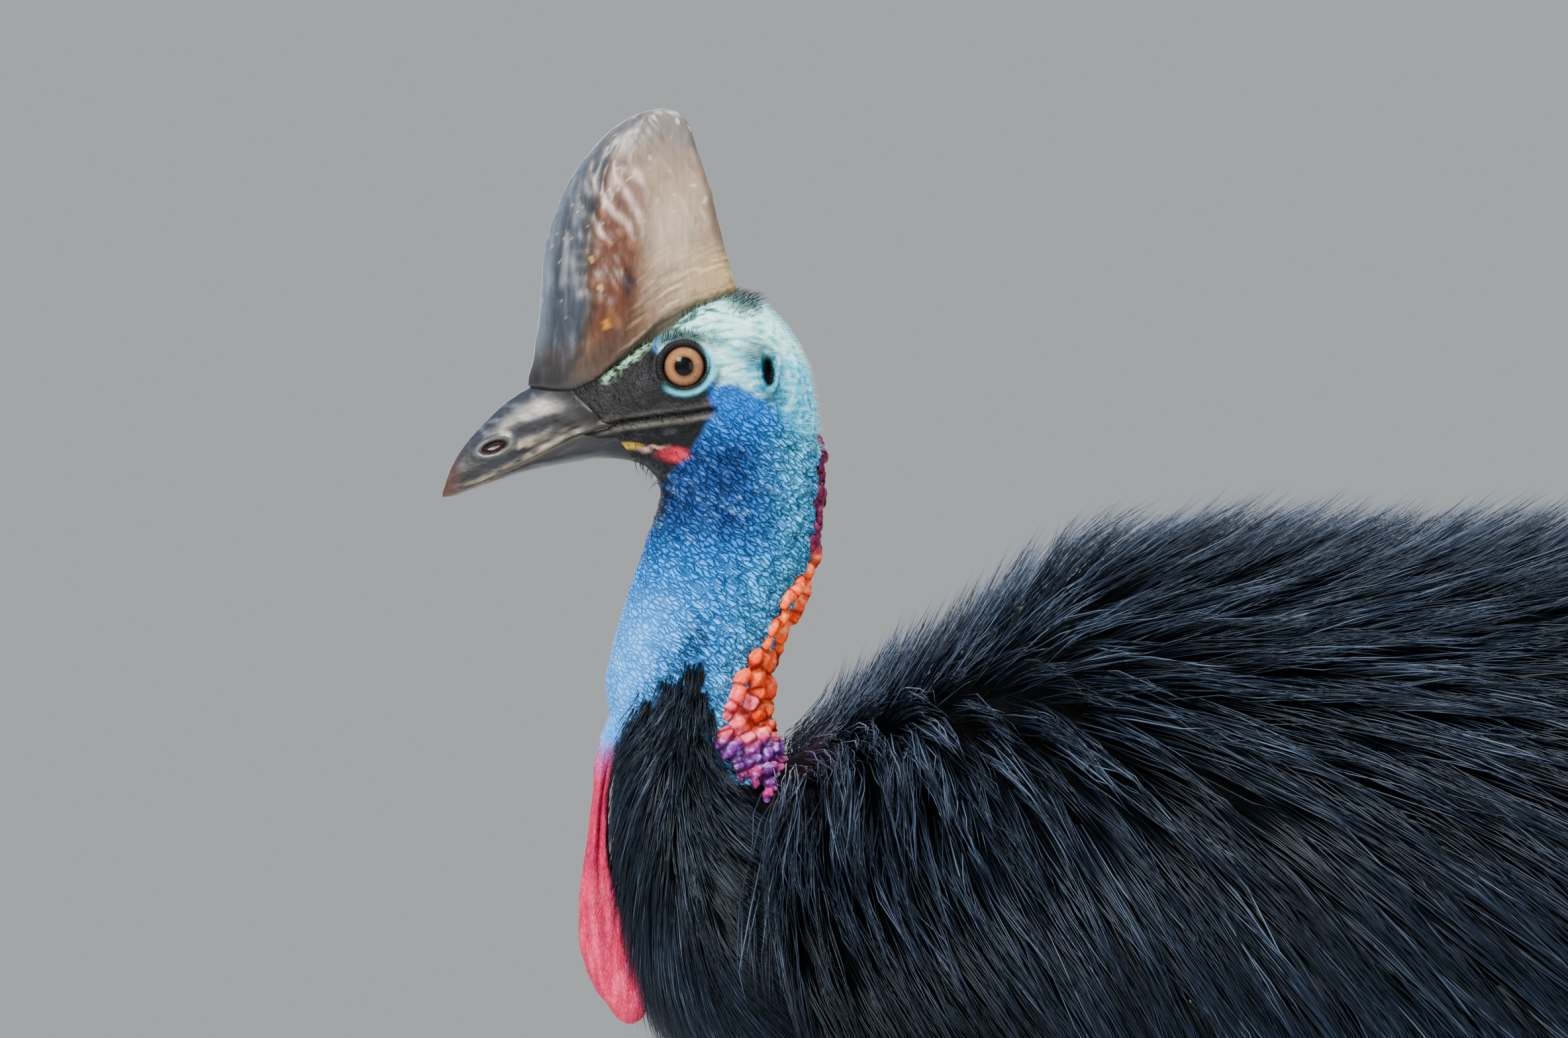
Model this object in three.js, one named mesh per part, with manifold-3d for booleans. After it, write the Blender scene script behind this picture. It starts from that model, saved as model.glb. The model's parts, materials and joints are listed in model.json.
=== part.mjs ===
// A southern cassowary standing still, life size, as a museum shows it.
// Millimetres, +Z up. The bird faces -X, its left side is towards -Y, and it stands on the floor at z = 0.
// Its skin, plumage and horn are parted where a person would name them, with a thin gap between neighbours.

import * as THREE from "three";
import { mergeVertices } from "three/addons/utils/BufferGeometryUtils.js";
import Module from "manifold-3d";

const wasm = await Module();
wasm.setup();

// Driving dimensions
const GAP = 0.3; // clearance between pieces that touch
const LOCK_GAP = 0.6; // the same beside a lock, whose faces twist as it bends
const EYE = { x: -443.2, y: 21.5, z: 1090, radius: 15.5, opening: 13.2 };
const LID = { thick: 2.9, fromEye: 9.2 };
const EAR = { x: -391.5, y: 31, z: 1086, long: 10.5, wide: 4.2, deep: 9, tilt: 0.2, rim: 2.3 };
const NOSTRIL = { x: -558, y: 10.6, z: 1042, long: 8.6, deep: 4.2, high: 3.9, tilt: -0.33 };
const MOUTH = { fromPoint: 6, halfHeight: 0.8, innerHalfWidth: 24 }; // the groove behind the bill
const TAIL_X = 400; // where the tail begins
const BREAST_BACK = -386; // behind this the body reaches up past the foot of the neck
const WATTLE_OFFSET = 10.5; // from the middle of the throat to each wattle
const LEAVES_BODY = -0.5; // a lock hangs free where the body turns this far under
const LOWEST_TIP = 470; // about where the hanging locks end
const TORSO_COAT = { depth: 30, length: 240, width: 57, thick: 6, alongPitch: 112, acrossPitch: 70 };
const NECK_COAT = { depth: 9, length: 86, width: 28, thick: 3.6, alongPitch: 44, acrossPitch: 27 };
const THIGH_COAT = { depth: 10, length: 92, width: 34, thick: 4.5 };
const LEG = {
  spread: 88, // from the middle of the body to each foot
  hockHeight: 368,
  hockBehindFoot: 44,
  kneeAheadOfHock: 150,
  kneeHeight: 690,
  footHeight: 46,
  leftFootX: 70,
  rightFootX: 136,
};
const THIGH_RINGS = [
  { place: 0.57, locks: 6, turn: 0 },
  { place: 0.72, locks: 5, turn: 0.5 },
];
const SCUTES = { count: 7, first: 0.14, run: 0.76, rise: 2.6 }; // the plates down the front of the shank
const SHANK_SINKS = 20; // how far the shank reaches down between the toes
const WING = { x: -150, z: 716, length: 92, drop: 46, thick: 17 };
const QUILL = { count: 5, length: 250, radius: 2.6 };
const WIDE = 400; // half the depth of the blocks that part the skin
const FAR = 2000; // how far those blocks reach past the bird
const SIDES = [
  { side: "left", sign: -1 },
  { side: "right", sign: 1 },
];

// Head and neck in level slices: height, front, back and half width
const NECK_ROWS = [
  [640, -404, -280, 58],
  [680, -442, -284, 84],
  [715, -463, -298, 90],
  [750, -475, -318, 85],
  [790, -486, -346, 72],
  [832, -491, -374, 60],
  [868, -494, -390, 51],
  [892, -492.5, -395, 46],
  [912, -489, -392, 42.5],
  [932, -484, -383, 40],
  [952, -478, -374, 38.5],
  [984, -467, -364, 36.5],
  [1012, -458, -362, 34.5],
  [1030, -461, -361, 33],
  [1050, -466, -362, 33],
  [1068, -470, -364, 34.5],
  [1084, -470, -367.5, 34.5],
  [1098, -466, -373, 32.5],
  [1112, -458, -382, 28.5],
  [1124, -446, -392, 20],
  [1131, -434, -402, 10],
  [1133.5, -418, -418, 0],
];

// Face and bill in upright slices: place, top, bottom, widest height and half width
const FACE_ROWS = [
  [-589.6, 1014.5, 1011.5, 1012.8, 1],
  [-584.4, 1029, 1011.6, 1015, 5],
  [-574.8, 1043.8, 1014.5, 1018, 7.6],
  [-563, 1056.8, 1018.6, 1023, 9.8],
  [-551.8, 1067.4, 1022.6, 1029, 11.6],
  [-537, 1077, 1027.2, 1037, 14.2],
  [-519, 1084, 1030.8, 1045, 17.6],
  [-503, 1092, 1033.4, 1052, 21.6],
  [-486.5, 1101, 1035, 1060, 26],
  [-470, 1110, 1031.5, 1068, 30],
  [-455, 1118, 1020, 1074, 32.8],
  [-440, 1124, 1010, 1078, 34],
  [-422, 1124, 1005, 1078, 33],
  [-405, 1116, 1010, 1074, 28],
];

// Casque in level slices: height, front, back and half width
const CASQUE_ROWS = [
  [1066, -528, -480, 11],
  [1078, -537, -458, 17],
  [1099, -533.4, -432, 22],
  [1125, -530.8, -411, 23.5],
  [1143, -529, -413.4, 21.5],
  [1158, -528, -417.6, 19],
  [1174, -524.4, -421.8, 16.8],
  [1191, -518.6, -426, 15],
  [1208, -509.8, -431, 13.4],
  [1223, -498, -436, 11.8],
  [1236, -483.5, -440.8, 9.4],
  [1243.6, -470.6, -447.6, 6.2],
  [1246.8, -458, -458, 0],
];

// Where the skin is parted, as points across the side view
const CASQUE_EDGE = [
  [-560, 1081],
  [-537, 1078.5],
  [-509.4, 1077],
  [-486.5, 1092],
  [-470, 1108],
  [-458.8, 1119],
  [-437.6, 1128],
  [-413, 1135],
  [-380, 1140],
];
const BILL_EDGE = [
  [-541, 1110],
  [-532, 1076],
  [-502, 1050],
  [-486, 1034],
  [-478, 1000],
];
const MOUTH_LINE = [
  [-600, 1009.5],
  [-588, 1012.2],
  [-578.8, 1015.6],
  [-564, 1021.6],
  [-546.9, 1030],
  [-532.2, 1037.3],
  [-509, 1048.3],
  [-493, 1053.6],
  [-478.4, 1056.5],
  [-460, 1059],
  [-441.6, 1061.2],
  [-423.3, 1064.2],
];
const THROAT_EDGE = [
  [-500, 1004],
  [-330, 1040],
];
const NECK_EDGE = [
  [-540, 912],
  [-330, 940],
];
const BREAST_EDGE = [
  [-560, 690],
  [-500, 738],
  [-440, 772],
  [-392, 822],
  [-386, 905],
  [-380, 960],
];

// The outline of the plumage in upright slices, out to its tips: place, top, bottom and half width
const TORSO_ROWS = [
  [-468, 732, 732, 0],
  [-456, 790, 686, 46],
  [-440, 838, 648, 76],
  [-405, 884, 600, 112],
  [-362, 902, 560, 142],
  [-322, 928, 536, 162],
  [-284, 955, 520, 178],
  [-246, 981, 508, 190],
  [-198, 1003, 499, 202],
  [-100, 1008, 490, 218],
  [0, 1006, 484, 228],
  [100, 1006, 482, 234],
  [200, 996, 486, 230],
  [300, 964, 496, 210],
  [390, 904, 514, 174],
  [455, 834, 540, 132],
  [500, 762, 578, 82],
  [522, 672, 672, 0],
];

// Wattles in level slices: height, front, back and half thickness
const WATTLE_ROWS = [
  [694, -478, -474, 0.5],
  [697, -483, -469, 3.6],
  [703, -488, -466.5, 5.6],
  [718, -498.5, -467, 7.4],
  [744, -506.6, -474.5, 8],
  [773, -505.8, -484, 7.2],
  [799, -503.2, -489, 5.8],
  [833, -498.6, -488.5, 4.8],
  [862, -495.5, -482, 4.6],
  [880, -489, -480, 4.2],
];
// The long folds of a wattle: heights, share of the way back, and size
const WATTLE_FOLDS = [
  { from: 866, to: 716, ahead: 0.28, radius: 3.4 },
  { from: 800, to: 706, ahead: 0.74, radius: 3 },
];
const wattleCurve = through(WATTLE_ROWS);

// Curves and solids

// A smooth curve through rows of [position, value, value, ...], positions rising.
function through(rows) {
  const last = rows.length - 1;
  const slope = (i, k) => {
    const before = rows[Math.max(i - 1, 0)];
    const after = rows[Math.min(i + 1, last)];
    return (after[k] - before[k]) / (after[0] - before[0]);
  };
  return (s) => {
    const place = THREE.MathUtils.clamp(s, rows[0][0], rows[last][0]);
    let i = 0;
    while (i < last - 1 && rows[i + 1][0] < place) i += 1;
    const a = rows[i];
    const b = rows[i + 1];
    const span = b[0] - a[0];
    const t = (place - a[0]) / span;
    return a.slice(1).map((value, k) => {
      const h00 = (1 + 2 * t) * (1 - t) ** 2;
      const h10 = t * (1 - t) ** 2;
      const h01 = t * t * (3 - 2 * t);
      const h11 = t * t * (t - 1);
      return h00 * value + h10 * span * slope(i, k + 1) + h01 * b[k + 1] + h11 * span * slope(i + 1, k + 1);
    });
  };
}

// The same for a form whose two ends are round: the rows are read by angle, as along a half circle.
function throughRoundEnds(rows) {
  const first = rows[0][0];
  const length = rows[rows.length - 1][0] - first;
  const angle = (s) => Math.acos(THREE.MathUtils.clamp(1 - (2 * (s - first)) / length, -1, 1));
  const curve = through(rows.map(([s, ...values]) => [angle(s), ...values]));
  return (s) => curve(angle(s));
}

// A point on an oval with the given half sizes; power 2 is an ellipse and a larger one is squarer.
function ovalPoint(angle, across, above, below, power) {
  const c = Math.cos(angle);
  const s = Math.sin(angle);
  const bend = (value) => Math.sign(value) * Math.abs(value) ** (2 / power);
  return [across * bend(c), (s > 0 ? above : below) * bend(s)];
}

// A closed solid over rings of points. A ring of one point closes an end to a tip.
function loft(rings) {
  const points = rings.flat();
  const starts = [];
  rings.reduce((sum, ring) => {
    starts.push(sum);
    return sum + ring.length;
  }, 0);
  const faces = [];
  for (let i = 0; i + 1 < rings.length; i += 1) {
    const n = Math.max(rings[i].length, rings[i + 1].length);
    const here = (j) => starts[i] + (rings[i].length === 1 ? 0 : j % n);
    const next = (j) => starts[i + 1] + (rings[i + 1].length === 1 ? 0 : j % n);
    for (let j = 0; j < n; j += 1) {
      if (rings[i].length > 1) faces.push(here(j), here(j + 1), next(j));
      if (rings[i + 1].length > 1) faces.push(here(j + 1), next(j + 1), next(j));
    }
  }
  const cap = (start, count, turned) => {
    for (let j = 1; j + 1 < count; j += 1) {
      faces.push(start, start + (turned ? j : j + 1), start + (turned ? j + 1 : j));
    }
  };
  cap(starts[0], rings[0].length, false);
  cap(starts[rings.length - 1], rings[rings.length - 1].length, true);
  return facingOut(points.flatMap((p) => p.toArray()), faces);
}

// A solid from points and faces, turned so that its faces point out.
function facingOut(positions, faces) {
  const make = (triangles) =>
    new wasm.Manifold(
      new wasm.Mesh({
        numProp: 3,
        vertProperties: new Float32Array(positions),
        triVerts: new Uint32Array(triangles),
      }),
    );
  const made = make(faces);
  if (made.volume() > 0) return made;
  return make(faces.slice().reverse());
}

// A three.js geometry as a solid.
function solidFrom(geometry) {
  const bare = geometry.index ? geometry.toNonIndexed() : geometry.clone();
  for (const name of Object.keys(bare.attributes)) if (name !== "position") bare.deleteAttribute(name);
  const merged = mergeVertices(bare, 1e-4);
  return facingOut(merged.attributes.position.array, Array.from(merged.index.array));
}

function joined(solids) {
  return wasm.Manifold.union(solids);
}

// The largest closed surface of a solid, without scraps or sealed hollows.
function largest(solid) {
  const bodies = solid.decompose();
  return bodies.reduce((best, body) => (body.volume() > best.volume() ? body : best));
}

// A block right through the bird whose side view is the given outline of [x, z] points.
function block(outline) {
  const shape = new THREE.Shape(outline.map(([x, z]) => new THREE.Vector2(x, z)));
  const geometry = new THREE.ExtrudeGeometry(shape, { depth: 2 * WIDE, bevelEnabled: false });
  geometry.translate(0, 0, -WIDE).rotateX(Math.PI / 2);
  return solidFrom(geometry);
}

// The two sides of an edge across the side view, half a gap away from it each: above it and below it.
function sidesOf(edge, halfGap = GAP / 2) {
  const last = edge[edge.length - 1];
  const whole = [[-FAR, edge[0][1]], ...edge, [FAR, last[1]]];
  const shifted = (amount) => whole.map(([x, z]) => [x, z + amount]);
  return {
    above: block([...shifted(halfGap), [FAR, FAR], [-FAR, FAR]]),
    below: block([...shifted(-halfGap), [FAR, -FAR], [-FAR, -FAR]]),
  };
}

// The part of the bird ahead of, or behind, an edge that runs down the side view.
function sidesAcross(edge, halfGap = GAP / 2) {
  const last = edge[edge.length - 1];
  const whole = [[edge[0][0], FAR], ...edge, [last[0], -FAR]];
  const shifted = (amount) => whole.map(([x, z]) => [x + amount, z]);
  return {
    ahead: block([...shifted(-halfGap), [-FAR, -FAR], [-FAR, FAR]]),
    behind: block([...shifted(halfGap), [FAR, -FAR], [FAR, FAR]]),
  };
}

// A solid made of level slices of [height, front, back, half width].
function levelForm(rows, { levels, around, power = 2.15, grow = () => 0 }) {
  const curve = through(rows);
  return loft(
    levels.map((z) => {
      const [front, back, half] = curve(z);
      const out = grow(z);
      return levelRing(z, front - out, back + out, half + out, around, power);
    }),
  );
}

// Evenly spaced numbers from the first to the last
function spaced(first, last, count) {
  return Array.from({ length: count }, (_, i) => THREE.MathUtils.lerp(first, last, i / (count - 1)));
}

function levelRing(z, front, back, half, around, power) {
  const middle = (front + back) / 2;
  const reach = (back - front) / 2;
  if (half < 0.6) return [new THREE.Vector3(middle, 0, z)];
  return Array.from({ length: around }, (_, j) => {
    const [y, x] = ovalPoint((2 * Math.PI * j) / around, half, reach, reach, power);
    return new THREE.Vector3(middle + x, y, z);
  });
}

// A solid made of upright slices of [place, top, bottom, widest height, half width].
function uprightForm(rows, { steps, around, power = 2 }) {
  const curve = through(rows);
  const first = rows[0][0];
  const last = rows[rows.length - 1][0];
  const rings = [];
  for (let i = 0; i <= steps; i += 1) {
    const x = THREE.MathUtils.lerp(first, last, (i / steps) ** 1.15);
    const [top, bottom, widest, half] = curve(x);
    rings.push(
      Array.from({ length: around }, (_, j) => {
        const [y, z] = ovalPoint((2 * Math.PI * j) / around, half, top - widest, widest - bottom, power);
        return new THREE.Vector3(x, y, widest + z);
      }),
    );
  }
  return loft(rings);
}

// A round-sectioned form along stations of { at, up, side, ridge }: a place, its half sizes upwards and
// sideways, and how far its upper side is raised. The hint is the way that sideways lies.
function limb(stations, { around = 10, power = 2, grow = 0, hint = new THREE.Vector3(0, 1, 0) } = {}) {
  return loft(
    stations.map((station, i) => {
      const before = stations[Math.max(i - 1, 0)].at;
      const after = stations[Math.min(i + 1, stations.length - 1)].at;
      const along = after.clone().sub(before).normalize();
      const side = hint.clone().addScaledVector(along, -hint.dot(along)).normalize();
      const up = new THREE.Vector3().crossVectors(side, along).normalize();
      const end = i === 0 ? -grow : i === stations.length - 1 ? grow : 0;
      const at = station.at.clone().addScaledVector(along, end);
      if (Math.max(station.up, station.side) < 0.6) return [at];
      return Array.from({ length: around }, (_, j) => {
        const angle = (2 * Math.PI * j) / around;
        const ridge = Math.sin(angle) > 0.3 ? (station.ridge ?? 0) : 0;
        const [wide, high] = [station.side + grow, station.up + grow];
        const [s, u] = ovalPoint(angle, wide, high + ridge, high, power);
        return at.clone().addScaledVector(side, s).addScaledVector(up, u);
      });
    }),
  );
}

// Repeatable chance, so that every run makes the same bird
function randomFrom(seed) {
  let state = seed;
  return () => {
    state = (state * 1664525 + 1013904223) % 4294967296;
    return state / 4294967296;
  };
}

// Head, casque and bill

function headWithNeck() {
  const levels = [...spaced(640, 880, 6), ...spaced(905, 1098, 11), ...spaced(1112, 1133.5, 3)];
  const neck = levelForm(NECK_ROWS, { levels, around: 14, grow: (z) => -neckCoatDepth(z) });
  const face = uprightForm(FACE_ROWS, { steps: 12, around: 10, power: 1.9 });
  return joined([neck, face]);
}

function casqueForm() {
  const levels = [...spaced(1066, 1223, 9), 1236, 1243.6, 1246.8];
  return levelForm(CASQUE_ROWS, { levels, around: 14, power: 1.9 });
}

function eyeball(sign, grow = 0) {
  const ball = new THREE.SphereGeometry(EYE.radius + grow, 10, 7);
  ball.rotateX(Math.PI / 2);
  ball.translate(EYE.x, sign * EYE.y, EYE.z);
  return solidFrom(ball);
}

// The two lids stand round the eye as one low ring
function lids(sign) {
  const ring = new THREE.TorusGeometry(EYE.opening + LID.thick / 2, LID.thick, 4, 10);
  ring.scale(1.04, 0.96, 0.9).rotateX(Math.PI / 2);
  ring.translate(EYE.x, sign * (EYE.y + LID.fromEye), EYE.z);
  return solidFrom(ring);
}

function earCup(sign) {
  const cup = new THREE.SphereGeometry(1, 8, 5);
  cup.scale(EAR.wide, EAR.deep, EAR.long).rotateY(EAR.tilt);
  cup.translate(EAR.x, sign * EAR.y, EAR.z);
  return solidFrom(cup);
}

function earRim(sign) {
  const rim = new THREE.TorusGeometry(1, 0.26, 3, 8);
  rim.scale(EAR.wide + EAR.rim, EAR.long + EAR.rim, 7).rotateX(Math.PI / 2).rotateY(EAR.tilt);
  rim.translate(EAR.x, sign * (EAR.y - 1.4), EAR.z);
  return solidFrom(rim);
}

function nostril(sign) {
  const hole = new THREE.SphereGeometry(1, 8, 5);
  hole.scale(NOSTRIL.long, NOSTRIL.deep, NOSTRIL.high).rotateY(NOSTRIL.tilt);
  hole.translate(NOSTRIL.x, sign * NOSTRIL.y, NOSTRIL.z);
  return solidFrom(hole);
}

// The groove of the mouth runs on from the bill to the corner below the eye
function mouthGroove() {
  const line = MOUTH_LINE.slice(MOUTH.fromPoint);
  const above = line.map(([x, z]) => [x, z + MOUTH.halfHeight]);
  const below = line.map(([x, z]) => [x, z - MOUTH.halfHeight]).reverse();
  const inner = [1030, 1090].map((z) => [z, -520, -400, MOUTH.innerHalfWidth]);
  return block([...above, ...below]).subtract(levelForm(inner, { levels: [1030, 1090], around: 12 }));
}

// The foot of the neck, which the body's own locks stay clear of
function aboveNeck() {
  return block([...BREAST_EDGE.slice(0, 4), [BREAST_BACK, 905], [BREAST_BACK, 1010], [-560, 1010]]);
}

const cuts = {
  casque: sidesOf(CASQUE_EDGE),
  bill: sidesAcross(BILL_EDGE),
  mouth: sidesOf(MOUTH_LINE, 0.25),
  throat: sidesOf(THROAT_EDGE),
  neck: sidesOf(NECK_EDGE),
  breast: sidesOf(BREAST_EDGE),
};

const nodes = {};

function makeHead() {
  const flesh = headWithNeck();
  const eyes = [-1, 1].map((sign) => eyeball(sign, GAP));
  const skin = joined([flesh, ...[-1, 1].flatMap((sign) => [lids(sign), earRim(sign)])]);
  const whole = joined([skin, casqueForm()]);
  const aboveThroat = whole.intersect(cuts.throat.above);
  const holes = joined([...eyes, ...[-1, 1].map(earCup), mouthGroove()]);
  nodes.casque = largest(aboveThroat.intersect(cuts.casque.above));
  const belowCasque = aboveThroat.intersect(cuts.casque.below);
  nodes.head = largest(belowCasque.intersect(cuts.bill.behind).subtract(holes));
  const bill = belowCasque.intersect(cuts.bill.ahead);
  const nostrils = joined([-1, 1].map(nostril));
  nodes.bill_upper = largest(bill.intersect(cuts.mouth.above).subtract(nostrils));
  nodes.bill_lower = largest(bill.intersect(cuts.mouth.below));
  for (const { side, sign } of SIDES) nodes[`eye_${side}`] = eyeball(sign);
}

// Neck, folds of the nape and wattles

const neckCurve = through(NECK_ROWS);

// The skin lies below the tips of the neck's plumage, and in the bare part it is the outline itself
function neckCoatDepth(z) {
  return NECK_COAT.depth * (1 - THREE.MathUtils.smoothstep(z, 858, 906));
}

// A point on the neck at a height and an angle from the middle of the nape, raised off the outline.
function onNape(z, angle, raise = 0) {
  const [front, back, half] = neckCurve(z);
  const reach = (back - front) / 2;
  const [y, x] = ovalPoint(Math.PI / 2 + angle, half + raise, reach + raise, reach + raise, 2.15);
  return new THREE.Vector3((front + back) / 2 + x, y, z);
}

// Half the angle that the folds wrap round the nape, from their top down
const NAPE_SPREAD = through([
  [820, 0.62],
  [850, 0.86],
  [880, 0.98],
  [910, 0.84],
  [940, 0.58],
  [970, 0.32],
  [992, 0.16],
]);
const NAPE = { top: 992, bottom: 822, padOut: 0.5, lobesOut: 14, padIn: 7 };

// The folds in bands from the top down: height, columns of lobes, and half the size of a lobe
const NAPE_BANDS = [
  { top: 990, bottom: 958, rows: 2, columns: 1, long: 10, wide: 4.4, deep: 4.6 },
  { top: 958, bottom: 914, rows: 2, columns: 2, long: 13, wide: 6, deep: 5.6 },
  { top: 914, bottom: 872, rows: 3, columns: 3, long: 12, wide: 8.4, deep: 6.6 },
  { top: 872, bottom: 826, rows: 3, columns: 3, long: 9.4, wide: 8, deep: 6 },
];

// A thin pad of thick skin down the nape carries the folds, which keep to its footprint
function napePad(raise, grow = 0) {
  const steps = 9;
  const rings = [];
  for (let i = 0; i <= steps; i += 1) {
    const z = THREE.MathUtils.lerp(NAPE.top + 2 * grow, NAPE.bottom - 2 * grow, i / steps);
    if (i === 0 || i === steps) {
      rings.push([onNape(z, 0, -3 - 3 * grow)]);
      continue;
    }
    const half = NAPE_SPREAD(z)[0] + grow / 20;
    const inset = neckCoatDepth(z);
    const across = [-1, -0.5, 0, 0.5, 1];
    const outer = across.map((a) => onNape(z, a * half, raise - inset * a * a + grow));
    const inner = across.map((a) => onNape(z, -a * half * 0.96, -NAPE.padIn - inset * a * a - 2 * grow));
    rings.push([...outer, ...inner]);
  }
  return loft(rings);
}

function napeFolds() {
  const random = randomFrom(11);
  const lobes = [];
  for (const band of NAPE_BANDS) {
    for (let row = 0; row < band.rows; row += 1) {
      const height = THREE.MathUtils.lerp(band.top, band.bottom, (row + 0.5) / band.rows);
      for (let column = 0; column < band.columns; column += 1) {
        const even = band.columns === 1 ? 0 : (2 * column) / (band.columns - 1) - 1;
        const across = even * 0.76 + (row % 2 ? 0.1 : -0.1) + 0.08 * (random() - 0.5);
        const z = height + 5 * (random() - 0.5) + (column % 2 ? 3 : -3);
        const size = 0.88 + 0.3 * random();
        const lobe = new THREE.SphereGeometry(1.06, 5, 3);
        const lean = 0.75 * Math.sign(across || 1) * (0.4 + 0.6 * random());
        lobe.scale(band.deep * size, band.wide * size, band.long * size);
        lobe.rotateX(lean);
        const angle = across * NAPE_SPREAD(z)[0];
        lobe.rotateZ(-angle * 0.9);
        lobe.translate(...onNape(z, angle, -2.2 - neckCoatDepth(z) * across * across).toArray());
        lobes.push(solidFrom(lobe));
      }
    }
  }
  return joined([napePad(NAPE.padOut), ...lobes]).intersect(napePad(NAPE.lobesOut));
}

// Each wattle is a hanging flap with a long fold down its outer side
function wattle(sign, grow = 0) {
  const levels = [694, 698, 706, 720, 742, 770, 800, 832, 860, 880];
  const flap = levelForm(WATTLE_ROWS, { levels, around: 8, grow: () => grow });
  const folds = WATTLE_FOLDS.map(({ from, to, ahead, radius }) => {
    const stations = [];
    for (let i = 0; i <= 3; i += 1) {
      const t = i / 3;
      const z = THREE.MathUtils.lerp(from, to, t);
      const [front, back, half] = wattleCurve(z);
      const swell = radius * Math.sin(Math.PI * (0.08 + 0.84 * t));
      const at = new THREE.Vector3(THREE.MathUtils.lerp(front, back, ahead), sign * half * 0.72, z);
      stations.push({ at, up: swell, side: swell });
    }
    return limb(stations, { around: 5, grow });
  });
  return joined([flap, ...folds]).translate(0, sign * WATTLE_OFFSET, 0);
}

// Plumage: broad tapered locks rooted in the core of a form, each lying along the coat over the next

// A form that carries plumage is read by its section at each place along it: the centre, the two
// directions across it, and its half sizes along them, the second of them both ways.
function carrier({ placeOf, section, power }) {
  const measure = (p) => {
    const { centre, side, up, across, above, below } = section(placeOf(p));
    const from = p.clone().sub(centre);
    const u = from.dot(side);
    const v = from.dot(up);
    const reach = v > 0 ? above : below;
    const level = (Math.abs(u / across) ** power + Math.abs(v / reach) ** power) ** (1 / power);
    return { level, u, v, side, up };
  };
  const level = (p) => measure(p).level;
  const onSurface = (p) => {
    const { level: out, u, v, side, up } = measure(p);
    const shift = 1 / out - 1;
    return p.clone().addScaledVector(side, u * shift).addScaledVector(up, v * shift);
  };
  const outward = (p) => {
    const axes = [new THREE.Vector3(1, 0, 0), new THREE.Vector3(0, 1, 0), new THREE.Vector3(0, 0, 1)];
    const slopes = axes.map((axis) => level(p.clone().add(axis)) - level(p.clone().sub(axis)));
    return new THREE.Vector3(...slopes).normalize();
  };
  return { level, onSurface, outward };
}

// The way a lock runs from its root: over the surface along the lie, and rising to its tip.
function lockPath(form, root, { length, lie, depth, free = () => false }) {
  const steps = 4;
  const path = [];
  let foot = form.onSurface(root);
  let out = form.outward(foot);
  let along = new THREE.Vector3();
  for (let i = 0; i <= steps; i += 1) {
    const t = i / steps;
    if (i > 0 && free(foot, out)) {
      along.z -= 0.45;
      along.normalize();
    } else {
      out = form.outward(foot);
      along = lie(foot, out);
    }
    along.addScaledVector(out, -along.dot(out)).normalize();
    const lift = THREE.MathUtils.lerp(-0.3 * depth, depth, t ** 0.8);
    path.push({ at: foot.clone().addScaledVector(out, lift), out: out.clone(), along: along.clone() });
    foot.addScaledVector(along, length / steps);
    if (!free(foot, out)) foot = form.onSurface(foot);
  }
  return path;
}

// A flat lock with a ridge down its middle, widest a third of the way along and drawn out to a tip.
// Growing it moves each of its faces out, so that its thin edges and its tip reach further than its ridge.
function lock(path, { width, thick }, grow = 0) {
  const last = path.length - 1;
  const tipWay = path[last].at.clone().sub(path[last - 1].at).normalize();
  return loft(
    path.map(({ at, out, along }, i) => {
      const t = i / last;
      if (i === last) return [at.clone().addScaledVector(tipWay, 16 * grow)];
      const side = new THREE.Vector3().crossVectors(out, along).normalize();
      const swell = 0.62 + 0.38 * Math.sin(Math.PI * Math.min(1, 0.2 + t));
      const half = (width / 2) * swell * (1 - t ** 3);
      const high = thick * (1 - 0.55 * t);
      const base = at.clone().addScaledVector(out, -0.35 * thick - grow);
      if (i === 0) base.addScaledVector(along, -grow);
      const reach = half + grow * ((half + Math.hypot(half, high)) / high);
      return [
        base.clone().addScaledVector(side, reach),
        base.clone().addScaledVector(out, high + 2.5 * grow),
        base.clone().addScaledVector(side, -reach),
      ];
    }),
  );
}

// Roots spread evenly at random: no two within a pitch along the lie and a pitch across it.
function spreadRoots(candidate, count, { alongPitch, acrossPitch }, lie) {
  const roots = [];
  for (let i = 0; i < count; i += 1) {
    const p = candidate();
    if (!p) continue;
    const clear = roots.every(({ at, way }) => {
      const from = p.clone().sub(at);
      const along = from.dot(way);
      const across = from.addScaledVector(way, -along).length();
      return (along / alongPitch) ** 2 + (across / acrossPitch) ** 2 > 1;
    });
    if (clear) roots.push({ at: p, way: lie(p) });
  }
  return roots.map((root) => root.at);
}

const torsoCurve = throughRoundEnds(TORSO_ROWS);
const TORSO_FRONT = TORSO_ROWS[0][0];
const TORSO_BACK = TORSO_ROWS[TORSO_ROWS.length - 1][0];
const CORE_FRONT = TORSO_FRONT + TORSO_COAT.depth;
const CORE_BACK = TORSO_BACK - TORSO_COAT.depth;
const TORSO_POWER = 2.2;

// The section of the torso at a place, set in from the tips of the plumage.
function torsoSection(x, inset) {
  const middle = (TORSO_FRONT + TORSO_BACK) / 2;
  const scale = (TORSO_BACK - TORSO_FRONT) / (TORSO_BACK - TORSO_FRONT - 2 * inset);
  const [top, bottom, half] = torsoCurve(middle + (x - middle) * scale);
  const taper = Math.min(1, half / 60);
  return {
    top: top - inset * taper,
    bottom: bottom + inset * taper,
    half: half - inset * taper,
    widest: bottom + 0.47 * (top - bottom),
  };
}

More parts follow.
